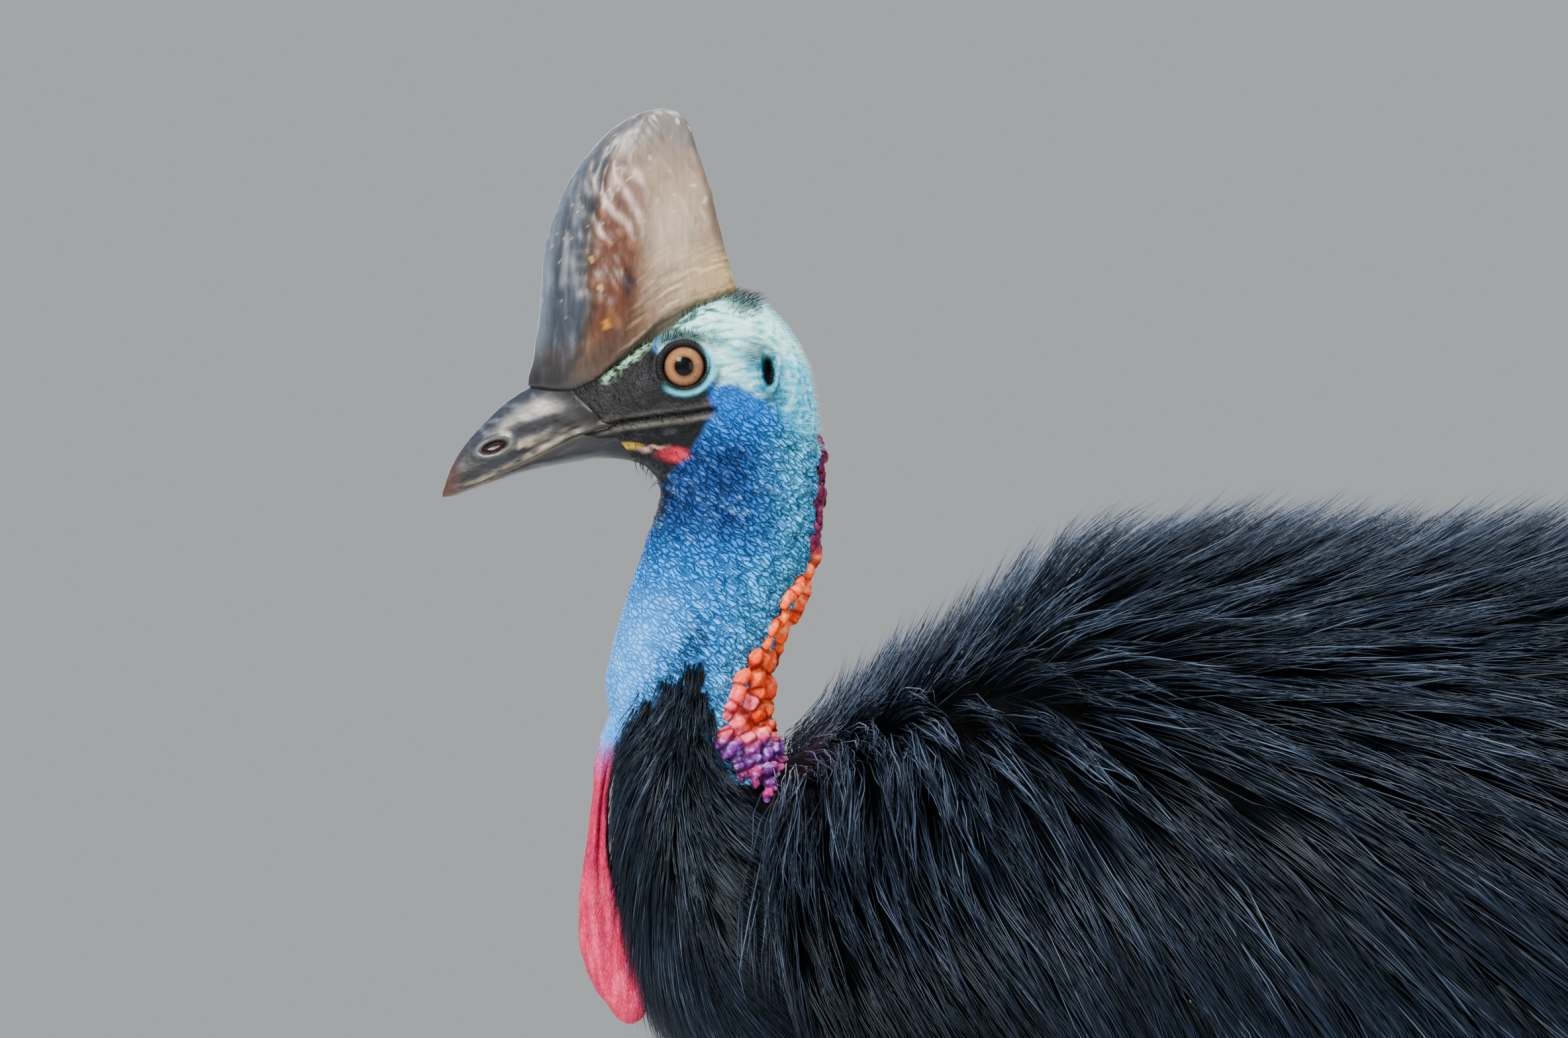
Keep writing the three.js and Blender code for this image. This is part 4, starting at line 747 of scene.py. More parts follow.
def make_claw(side, sign, name, toe):
    foot, _, _ = leg_places(sign)
    ahead = toe_way(toe, sign)
    t = np.linspace(0, 1, 48)
    width = toe["claw_wide"] * np.maximum(1 - t, 0.0) ** 0.7
    arch = 0.25 * np.sin(math.pi * np.minimum(t * 1.1, 1))
    height = np.maximum(toe["high"] * (0.62 + arch - 0.52 * t * t), 1.6)
    centres = foot + ahead * (toe["length"] - 12) + ahead * (toe["claw"] + 12) * t[:, None]
    centres[:, 2] = height
    rings = limb_rings(centres, np.maximum(width * 1.15, 0.3), np.maximum(width, 0.3), 32, 2.0,
                       (-ahead[1], ahead[0], 0))
    rings[..., 2] = np.maximum(rings[..., 2], 0.0)
    hand_over(loft(f"claw_{name}_{side}_horn", rings), CLAW_HORN, "claw_horn", f"claw_{name}_{side}")


# Things grown by rule over a surface

def pebble_shape(tree):
    """A low round scale with a flat underside."""
    dome = add(tree, "GeometryNodeMeshIcoSphere", {"Radius": 1.0, "Subdivisions": 1})
    return add(tree, "GeometryNodeTransform", {"Geometry": dome, "Scale": (1.0, 0.86, 0.34)})


def hair_shape(tree):
    """One hair: a thin cone that leans over as it grows, a millimetre long before it is scaled."""
    line = add(tree, "GeometryNodeCurveQuadraticBezier", {
        "Resolution": 2, "Start": (0.0, 0.0, -0.12), "Middle": (0.05, 0.0, 0.5), "End": (0.62, 0.0, 0.8)})
    along = add(tree, "GeometryNodeSplineParameter")
    taper = add(tree, "ShaderNodeMapRange", {"Value": along, "To Min": 1.0, "To Max": 0.08})
    outline = add(tree, "GeometryNodeCurvePrimitiveCircle", {"Resolution": 3, "Radius": 0.04})
    return add(tree, "GeometryNodeCurveToMesh", {
        "Curve": line, "Scale": taper, "Profile Curve": outline, "Fill Caps": True})


def geometry_tree(name, *sizes):
    """A new tree of Geometry Nodes with an input for each size, the inputs' sockets and what comes in."""
    tree = bpy.data.node_groups.new(name, "GeometryNodeTree")
    kinds = {"Geometry": "NodeSocketGeometry", "Seed": "NodeSocketInt"}
    sockets = {}
    for label in ("Geometry", *sizes):
        kind = kinds.get(label, "NodeSocketFloat")
        sockets[label] = tree.interface.new_socket(label, in_out="INPUT", socket_type=kind).identifier
    tree.interface.new_socket("Geometry", in_out="OUTPUT", socket_type="NodeSocketGeometry")
    return tree, sockets, add(tree, "NodeGroupInput").outputs


def hang_tree(piece, tree, sockets, made, material, **sizes):
    """Ends a tree in Set Material and hangs it on a piece, with its sizes set by their sockets."""
    finished = add(tree, "GeometryNodeSetMaterial", {"Geometry": made, "Material": material})
    add(tree, "NodeGroupOutput", {"Geometry": finished})
    modifier = piece.modifiers.new(tree.name, "NODES")
    modifier.node_group = tree
    for label, value in sizes.items():
        modifier[sockets[label]] = value


def grown_on(surface, name, material, where, spacing, seed, shape, least, most, lean=None):
    """Spreads one small shape over a surface, as densely as its named attribute says, as a plain mesh."""
    tree, sockets, given = geometry_tree(name, "Spacing", "Seed", "Least", "Most")
    density = add(tree, "GeometryNodeInputNamedAttribute", {"Name": where})
    thick = add(tree, "ShaderNodeMath", {0: 1.3e6, 1: given["Spacing"]}, operation="DIVIDE")
    thicker = add(tree, "ShaderNodeMath", {0: thick, 1: given["Spacing"]}, operation="DIVIDE")
    apart = add(tree, "ShaderNodeMath", {0: given["Spacing"], 1: 0.8 * METRE}, operation="MULTIPLY")
    spread = add(tree, "GeometryNodeDistributePointsOnFaces", distribute_method="POISSON")
    feed(spread, {"Mesh": given["Geometry"], "Distance Min": apart, "Density Max": thicker,
                  "Density Factor": density, "Seed": given["Seed"]})
    size = add(tree, "FunctionNodeRandomValue", {"Seed": given["Seed"]}, data_type="FLOAT")
    feed(size, {2: given["Least"], 3: given["Most"]})
    unit_size = METRE * (spacing / 2 if lean is None else 1.0)
    in_metres = add(tree, "ShaderNodeMath", {0: size.outputs[1], 1: unit_size}, operation="MULTIPLY")
    turn = spread.outputs["Rotation"]
    if lean is not None:
        turn = add(tree, "FunctionNodeAlignRotationToVector", {
            "Rotation": turn, "Vector": lean}, axis="X", pivot_axis="Z")
    placed = add(tree, "GeometryNodeInstanceOnPoints",
                 {"Points": spread, "Instance": shape(tree), "Rotation": turn,
                                                        "Scale": in_metres})
    real = add(tree, "GeometryNodeRealizeInstances", {"Geometry": placed})
    smooth = add(tree, "GeometryNodeSetShadeSmooth", {"Geometry": real})
    piece = new_object(name, surface.data.copy())
    hang_tree(piece, tree, sockets, smooth, material, Spacing=float(spacing), Seed=seed, Least=least,
              Most=most)
    return evaluated_mesh(piece)


# Head and neck

def layered(colours, *layers):
    """Lays colours over the first, each by its share at every point."""
    colours = np.asarray(linear(colours)) if isinstance(colours, str) else colours
    for share, colour in layers:
        share = np.clip(np.asarray(share, float), 0, 1)[:, None]
        colours = colours * (1 - share) + np.asarray(linear(colour) if isinstance(colour, str)
                                                     else colour) * share
    return colours


def near(points, x, z, half_x, half_z, soft=0.35):
    """How far inside a soft patch on both sides of the head each point lies."""
    far = np.hypot((points[:, 0] - x) / half_x, (points[:, 2] - z) / half_z)
    return fall(far, 1 - soft, 1 + soft)


def draw_in(points, out_y, depth, share):
    """Brings the sides of a form in to a depth from its middle plane, by a share at each point."""
    y = np.abs(points[:, 1])
    points[:, 1] = np.where(share > 0, out_y * lerp(y, np.minimum(y, depth), share), points[:, 1])


def ear_rim(sign):
    """A closed ring lying against the side of the head."""
    turn, round_it = circle(48)[:, None], circle(14)
    x = (EAR_HALF_X + EAR_RIM * np.cos(round_it)) * np.cos(turn)
    z = (EAR_HALF_Z + EAR_RIM * np.cos(round_it)) * np.sin(turn)
    c, s = math.cos(EAR_TILT), math.sin(EAR_TILT)
    ring = xyz(x * c + z * s, sign * EAR_RIM * np.sin(round_it), z * c - x * s)
    return ring_mesh("ear rim", ring + (-391.5, sign * 30.2, 1086))


def make_head():
    """The skin of head and neck: its forms are fused, pressed, wrinkled, painted and set with fine hairs."""
    levels = np.concatenate([np.arange(NECK_BARE, 1131, 2.0), [1131, 1132.8, NECK_CROWN]])
    flesh = loft("neck", level_rings(neck_curve, levels, 160, NECK_POWER, neck_coat_depth(levels)))
    face = loft("face", face_rings(np.linspace(-550, -405, 110), 140))
    head = fused("skin_head", [flesh, face, ear_rim(-1), ear_rim(1)], 1.4, smoothing=3)
    points, normals = points_of(head)
    x, y, z = points.T
    out_y = np.sign(y)

    # Ahead of its edge the skin sinks under the horn of the bill, and above its edge inside the casque
    bill_edge = along_edge(BILL_EDGE, z)
    casque_edge = along_edge(CASQUE_EDGE, x)
    under_bill = smoothstep(bill_edge - x, -0.5, 3.0) * (z < casque_edge + 3) * smoothstep(z, 1006, 1014)
    above = z - casque_edge
    front, back, half = casque_curve(z)
    reach = (back - front) / 2
    level = np.abs((x - (front + back) / 2) / np.maximum(reach, 1))
    casque_y = half * np.maximum(1 - np.minimum(level, 1) ** 1.9, 0) ** (1 / 1.9)
    hide = smoothstep(above, -1.0, 5.0)
    points -= normals * (under_bill * 2.6)[:, None]
    draw_in(points, out_y, np.maximum(casque_y - 2.5, 1), hide)
    skin = (1 - under_bill) * (1 - hide)

    # The eye's opening and the ear's are holes with a floor
    from_eye = np.hypot((x - EYE_X) / 1.03, (z - EYE_Z) / 0.97)
    open_eye = fall(from_eye, 12.0, 14.5)
    ball = EYE_Y + np.sqrt(np.maximum(EYE_RADIUS ** 2 - np.minimum(from_eye, 15) ** 2, 0)) - 2.5
    draw_in(points, out_y, ball, open_eye)
    tilted = (x - EAR_X) * math.cos(EAR_TILT) + (z - EAR_Z) * math.sin(EAR_TILT) * 0.5
    from_ear = np.hypot(tilted / EAR_HALF_X, (z - EAR_Z) / 11.5)
    ear = fall(from_ear, 0.6, 1.05) * (np.abs(y) > 15)
    points[:, 1] -= out_y * ear * 9.0

    # The mouth runs back below the eye as a groove between two low lips
    mouth = along_edge(MOUTH_LINE, x)
    on_mouth = smoothstep(x, -500, -488) * fall(x, GAPE_X - 3, GAPE_X + 3) * (np.abs(y) > 8)
    groove = on_mouth * (2.6 * ridge(z - mouth, 1.5) - 1.1 * ridge(z - mouth + 4.5, 2.2)
                         - 0.8 * ridge(z - mouth - 4.5, 2.2))
    points -= normals * groove[:, None]

    # Wrinkles: a net drawn out round the neck, strongest behind, which fades to fine pleats low in front
    neck_front, neck_back = along_edge(NECK_ROWS, z), along_edge(NECK_ROWS, z, 2)
    share = np.clip((x - neck_front) / (neck_back - neck_front), 0, 1)
    warp = xyz(*(noise_at(points, 11, seed) for seed in (3, 5, 7)))
    warped = points + 4.2 * warp
    near_cell, next_cell = cells_at(warped * (0.6, 0.6, 1.2), 4.5)
    net = fall(next_cell - near_cell, 0.02, 0.34)
    on_neck_part = fall(z, 1040, 1068)
    smooth_front = fall(share, 0.12, 0.5) * fall(z, 925, 985)
    rear = smoothstep(share, 0.25, 0.7) * on_neck_part
    fine = noise_at(points * (1, 1, 2.2), 3.2, 11)
    flow = xyz(0.79 * x - 0.62 * z, y, 2.9 * (0.62 * x + 0.79 * z)) + 3.0 * warp
    pleats = noise_at(flow, 13.0, 17, octaves=2)
    coarse = noise_at(points, 16, 23)
    cheek = np.clip(near(points, -405, 1070, 30, 26) + near(points, -425, 1050, 36, 20), 0, 1)
    strength = skin * (1 - open_eye)
    wrinkled = on_neck_part * (1 - 0.75 * smooth_front)
    points += normals * (strength * (
        wrinkled * ((0.25 + 0.35 * rear) * (0.7 - 1.5 * net) + (1.0 + 1.2 * rear) * pleats)
        + cheek * (1 - on_neck_part) * (0.5 - 1.0 * net) * 0.6
        + (0.45 + 0.35 * (1 - on_neck_part)) * coarse + 0.3 * fine))[:, None]
    # A soft ridge of brow runs over the eye from the bill to the crown
    brow = ridge(from_eye - 17.5, 2.6) * smoothstep(z, EYE_Z - 8, EYE_Z + 6)
    points += normals * (strength * brow * 1.6)[:, None]
    move_points(head, points)

    # The painted patches of the real bird, each a soft area on the side of the head
    patchy = noise_at(points, 9, 31)
    broad = noise_at(points, 34, 37)
    hairy = noise_at(points * (0.28, 1.0, 1.0) + 0.6 * warp, 2.6, 39)
    zw, xw = z + 3 * patchy, x + 2.5 * patchy
    face_line = np.interp(zw, [1006, 1023, 1041, 1065, 1077, 1086, 1094, 1112],
                          [-474, -454, -437, -424, -430, -452, -457, -462])
    dark_face = smoothstep(face_line - xw, -2.5, 3.0) * (z > 1000)
    fleck = noise_at(points * (0.6, 1.0, 1.0), 1.7, 33)
    green_line = ridge(z - casque_edge + 5.5 + 2.2 * hairy, 3.6) * smoothstep(fleck + 0.5 * patchy, -0.25,
                                                                              0.25)
    green_line = green_line * smoothstep(xw, -496, -484) * fall(xw, -456, -446)
    aqua_line = np.interp(x, [-446, -430, -412, -392, -374, -362], [1090, 1084, 1079, 1069, 1049, 1036])
    aqua = smoothstep(z + 3 * patchy + 4 * hairy - aqua_line, -6, 9) * smoothstep(x, -464,
                                                                                  -452) * (1 - dark_face)
    crown = aqua * smoothstep(z + 5 * broad, 1088, 1116)
    throat = fall(zw, 1035, 1062) * smoothstep(zw, 962, 1006) * fall(share, 0.45, 0.9)
    low_front = fall(zw, 925, 968) * fall(share, 0.3, 0.8)
    rear_blue = smoothstep(share + 0.1 * broad, 0.5, 0.95) * on_neck_part
    chin = fall(share, 0.0, 0.16) * smoothstep(zw, 985, 1004) * fall(zw, 1026, 1040)
    brow_hair = near(points, -444, 1107, 17, 4.8, 0.6)
    ragged = points + 2.6 * warp + 1.2 * xyz(patchy, patchy, hairy)
    ear_side = np.abs(y) > 15
    colours = layered(
        "#127ee4",
        (near(points, -437, 922, 50, 55, 0.6) * 0.7, "#2a9bff"),
        (low_front * 0.9, "#43a4ff"),
        (smoothstep(patchy, 0.1, 0.6) * low_front * 0.4, "#7cc2ff"),
        (rear_blue * 0.9, "#58c8ff"),
        (rear_blue * fall(z, 890, 985) * 0.5, "#5cb6ff"),
        (throat * 0.95, "#073678"),
        # Painted highlight on the crests of the throat's pleats
        (throat * smoothstep(pleats, 0.0, 0.5) * 0.4, "#1a56b4"),
        (cheek * (1 - on_neck_part) * 0.9, "#0a62bc"),
        (smoothstep(share, 0.72, 0.98) * smoothstep(z, 1020, 1058) * 0.8, "#46b3cf"),
        (aqua, "#2fb0d6"),
        (aqua * smoothstep(z, 1084, 1106) * 0.7, "#86dcd0"),
        (crown * 0.8, "#bcf4e4"),
        (near(ragged, -417, 1080, 13, 15, 0.6) * aqua * 0.7, "#c4f2ea"),
        (aqua * smoothstep(hairy, 0.05, 0.5) * 0.5, "#e0faf2"),
        (aqua * smoothstep(-hairy, 0.05, 0.45) * 0.75, "#187688"),
        (aqua * smoothstep(-patchy, 0.2, 0.7) * 0.4, "#2c5f6b"),
        (aqua * smoothstep(-fleck, 0.25, 0.6) * 0.4, "#2a4a50"),
        (aqua * ridge(above + 7, 6) * smoothstep(-hairy - 0.4 * fleck, -0.05, 0.35) * 0.85, "#0f1d1a"),
        (chin * 0.85, "#050b1c"),
        (dark_face, "#0d0e11"),
        (dark_face * smoothstep(hairy + 0.4 * patchy, 0.15, 0.7) * 0.35, "#3a3b3e"),
        (green_line * 0.85, "#a8dcb8"),
        (brow_hair * 0.9, "#0c1012"),
        (near(ragged, -407, 1131, 13, 6, 0.7) * 0.85, "#131b1d"),
        (near(ragged, -461, 1113, 9, 3.0, 0.7) * 0.7, "#1c2624"),
        (near(ragged, -478, 1041.8, 9.5, 2.2, 0.5) * 0.9, "#c49a2c"),
        (near(ragged, -463, 1040.0, 8, 1.6, 0.6) * 0.7, "#d6a79c"),
        (near(ragged, -449, 1036.5, 8.5, 3.6, 0.5) * 0.9, "#b3283c"),
        (on_mouth * ridge(z - mouth, 1.4), "#050607"),
        (on_mouth * ridge(z - mouth + 3.4, 1.5) * 0.35, "#77736c"),
        (on_mouth * ridge(z - mouth - 3.6, 1.2) * 0.25, "#6a6862"),
        (fall(from_eye, 15.0, 17.5), "#08090b"),
        (ridge(from_eye - 17.2, 1.3) * smoothstep(x - EYE_X - (z - EYE_Z), -4, 10) * 0.9, "#4fb9c9"),
        (ridge(from_eye - 20.5, 2.0) * fall(z, EYE_Z - 6, EYE_Z + 6) * 0.8, "#0b1218"),
        (ridge(from_eye - 19, 2.6) * smoothstep(z, EYE_Z + 6, EYE_Z + 14) * 0.5, "#16343c"),
        (near(ragged, -400, 1098, 8, 8, 0.7) * ear_side * 0.75, "#1c2c34"),
        (near(ragged, -389, 1071, 7, 5, 0.7) * ear_side * 0.6, "#16323e"),
        (ridge(from_ear - 1.3, 0.25) * 0.6 * ear_side, "#1f5260"),
        # The ear opening is painted black, as painted shade inside the hole
        (ear, "#020202"),
        (near(ragged, -384, 1050, 4, 20, 0.6) * ear_side * 0.35, "#1d6f86"),
    )
    # Painted shade darkens the large net's lines and the pleats' hollows, and painted highlights make the
    # granules and the pleats' crests paler
    lines = net * np.clip(wrinkled * (0.45 + 0.55 * rear) + 0.5 * cheek, 0, 1) * skin * (1 - dark_face)
    colours *= (1 - 0.25 * lines - 0.3 * wrinkled * skin * smoothstep(-pleats, 0.0, 0.6))[:, None]
    colours = layered(colours, (wrinkled * (1 - lines) * smoothstep(pleats + 0.5 * fine, 0.15, 0.8)
                                * (0.2 + 0.3 * rear) * skin * (1 - dark_face), "#8ad2ff"))
    colours *= (1 + 0.10 * coarse + 0.12 * patchy)[:, None]
    # The plumage begins in a dark fuzz of small feathers
    border = neck_plumage_top(x + 5 * noise_at(points, 9, 49))
    border = border - (15 + 7 * noise_at(points, 6, 48)) * smoothstep(x, -474, -455)
    plumage = smoothstep(border - zw, -4, 6)
    colours = layered(colours, (plumage, "#020304"))
    creased = np.clip(0.35 + 0.65 * on_neck_part + 0.3 * cheek - 0.3 * smooth_front, 0,
                      1) * skin * (1 - plumage)
    creased = creased * (1 - 0.75 * dark_face) * (1 - 0.55 * aqua)
    paint(head, "creased", creased * smoothstep(from_eye, 15, 20))
    paint(head, "skin_colour", np.clip(colours, 0, 1))
    away = (1 - open_eye) * smoothstep(from_ear, 1.3, 1.7) * skin
    down_share = aqua * away * (from_eye > 18)
    down_share *= 0.3 + 0.7 * smoothstep(z, 1076, 1108)
    paint(head, "down", np.clip(down_share + 0.6 * green_line * away, 0, 1))
    dark = (dark_face * 0.12 + 0.7 * ridge(above + 2.5, 2.5) + 0.9 * near(points, -408, 1128, 9, 8)
            + 0.8 * brow_hair) * away
    dark += ridge(neck_plumage_top(points[:, 0]) - z - 3, 9.0) * (z < 945)
    paint(head, "bristly", np.clip(dark * (from_eye > 18), 0, 1))
    down = grown_on(head, "down_head", DOWN, "down", spacing=1.25, seed=7, shape=hair_shape, least=2.2,
                    most=4.6,
                    lean=(0.8, 0.0, -0.25))
    bristles = grown_on(head, "bristles_head", BRISTLE, "bristly", spacing=1.35, seed=9, shape=hair_shape,
                        least=4.0, most=9.0, lean=(0.9, 0.0, -0.5))
    hand_over(head, BARE_SKIN, "bare_skin", "head", "neck_upper")
    hand_over(down, DOWN, "bare_skin")
    hand_over(bristles, BRISTLE, "plumage")


def neck_plumage_top(x):
    """Height at which the plumage of the neck begins: highest on the side, lower in front and on the nape."""
    return np.interp(x, [-491, -483, -474, -466, -451, -438, -431, -428, -423, -412, -400, -383],
                     [836, 858, 879, 898, 913, 926, 929, 886, 860, 845, 830, 820])


def from_nostril(x, z):
    """How far places are along and above the nostril's axis, and from its middle in half sizes of it."""
    c, s = math.cos(NOSTRIL_TILT), math.sin(NOSTRIL_TILT)
    run = (x - NOSTRIL_X) * c + (z - NOSTRIL_Z) * s
    rise = -(x - NOSTRIL_X) * s + (z - NOSTRIL_Z) * c
    return run, rise, np.hypot(run / NOSTRIL_HALF_X, rise / NOSTRIL_HALF_Z)


def bill_rings(upper):
    """One half of the bill, cut from the face's own outline at the mouth and tucked back under the skin."""
    places = np.concatenate([np.linspace(-589.45, -580, 12), np.linspace(-579, -458, 90)])
    mouth = along_edge(MOUTH_LINE, places)[:, None]
    x, y, z = np.moveaxis(face_rings(places, 120), -1, 0).copy()
    top, _, widest, half = (row[:, None] for row in face_curve(places))
    tuck = smoothstep(x - along_edge(BILL_EDGE, z), -0.5, 7.0) * 3.4
    y = y * np.clip(1 - tuck / np.maximum(half, 4), 0.2, 1)
    z = widest + (z - widest) * np.clip(1 - tuck / np.maximum(top - widest, 6), 0.2, 1)
    if not upper:
        narrowed = 0.9 - 0.03 * smoothstep(places, -560, -500)[:, None]
        return xyz(x, y * narrowed, np.minimum(z, mouth + 0.2))
    z = np.maximum(z, mouth - 0.7)
    # A low ridge along the culmen, flat cheeks and a pinched lower edge
    culmen = ridge(y / np.maximum(half, 1), 0.22) * smoothstep(z - widest, 0, 8)
    z = z + 0.9 * culmen * smoothstep(places, -589, -575)[:, None]
    y = y * (1 - 0.06 * ridge(z - mouth - 5, 3.0))
    # The nostril is a hole with a rim, and a shallow trough leads back from it along the side
    run, rise, from_hole = from_nostril(x, z)
    bored = fall(from_hole, 0.6, 1.05)
    y = np.sign(y) * np.maximum(np.abs(y) - 4.2 * bored + 0.9 * ridge(from_hole - 1.25, 0.28), 0)
    trough = ridge(rise, 4.5) * smoothstep(run, 4, 16) * fall(run, 34, 60)
    return xyz(x, np.sign(y) * np.maximum(np.abs(y) - 1.1 * trough, 0), z)


def make_bill():
    """Dark polished horn with a painted bluish highlight along the culmen, paler and worn along its edges and
    back from the nostril.
    """
    for half, upper in (("upper", True), ("lower", False)):
        bill = loft(f"bill_{half}_horn", bill_rings(upper))
        points, normals = points_of(bill)
        wear_and_sheen = noise_at(points * (0.6, 1, 1), 5, 41)
        broad = noise_at(points, 18, 43)
        x, y, z = points.T
        base = np.tile(linear("#1d1e22"), (len(points), 1))
        height = z - along_edge(MOUTH_LINE, x)
        streak = noise_at(xyz(0.16 * x, y, z - 0.35 * x), 2.2, 45)
        if upper:
            top = face_curve(x)[0]
            culmen = smoothstep(z, top - 13, top - 3)
            run, rise, from_hole = from_nostril(x, z)
            long_wear = smoothstep(run, -4, 12) * fall(run, 44, 76) * smoothstep(streak, -0.3, 0.4)
            high_wear = smoothstep(run, 10, 24) * fall(run, 50, 80) * smoothstep(streak, -0.2, 0.4)
            lip_wear = smoothstep(x, -584, -570) * smoothstep(streak, -0.5, 0.3)
            base = layered(
                base,
                (smoothstep(streak, 0.0, 0.6) * 0.35, "#4a4847"),
                (smoothstep(broad, -0.1, 0.6) * 0.3, "#333439"),
                # A painted bluish highlight lies along the culmen, broken up by noise
                (culmen * 0.8, "#2b323d"),
                (culmen * smoothstep(wear_and_sheen, 0.1, 0.7) * 0.5, "#6b7685"),
                (fall(x, -590, -572), "#4a332b"),
                (ridge(height - 1.3, 1.1) * lip_wear * 0.7, "#8f7f66"),
                (ridge(rise + 5.0, 1.8) * long_wear * 0.8, "#a8977b"),
                (ridge(rise + 9.5, 1.2) * high_wear * 0.5, "#8b7c66"),
                (ridge(from_hole - 1.28, 0.26) * 0.5, "#6c6e70"),
                (fall(from_hole, 0.7, 1.0), "#230506"),
                (smoothstep(x, -535, -502) * 0.9, "#0f1013"),
            )
        else:
            base = layered(base, (0.75 + 0 * x, "#1c1d20"), (smoothstep(streak, 0.1, 0.7) * 0.4, "#4a4744"),
                           (ridge(height + 1.2, 1.0) * 0.5, "#77694f"))
        base *= (1 + 0.16 * wear_and_sheen)[:, None]
        paint(bill, "horn_colour", np.clip(base, 0, 1))
        paint(bill, "matte", 0.5 * smoothstep(x - along_edge(BILL_EDGE, z), -26, -4))
        points += normals * (0.16 * wear_and_sheen)[:, None]
        move_points(bill, points)
        hand_over(bill, BILL_HORN, "bill_horn", f"bill_{half}")


# The pale veins that wind over the upper side of the casque: places and heights
CASQUE_VEINS = [
    [(-500.7, 1206), (-494.2, 1194.3), (-486.4, 1184), (-477.4, 1176.2), (-473, 1166)],
    [(-487, 1213), (-482.5, 1202), (-476, 1191), (-470.5, 1181), (-468, 1171)],
    [(-500.5, 1181.4), (-495.5, 1172.3), (-486.5, 1164)],
    [(-476.1, 1215), (-471, 1205), (-465, 1194)],
]


def from_line(points, line):
    """How far points of the side view are from a line through the given places."""
    best = np.full(len(points), 1e9)
    for a, b in zip(np.array(line[:-1]), np.array(line[1:])):
        way = b - a
        t = np.clip(((points - a) @ way) / (way @ way), 0, 1)
        best = np.minimum(best, np.linalg.norm(points - a - t[:, None] * way, axis=1))
    return best


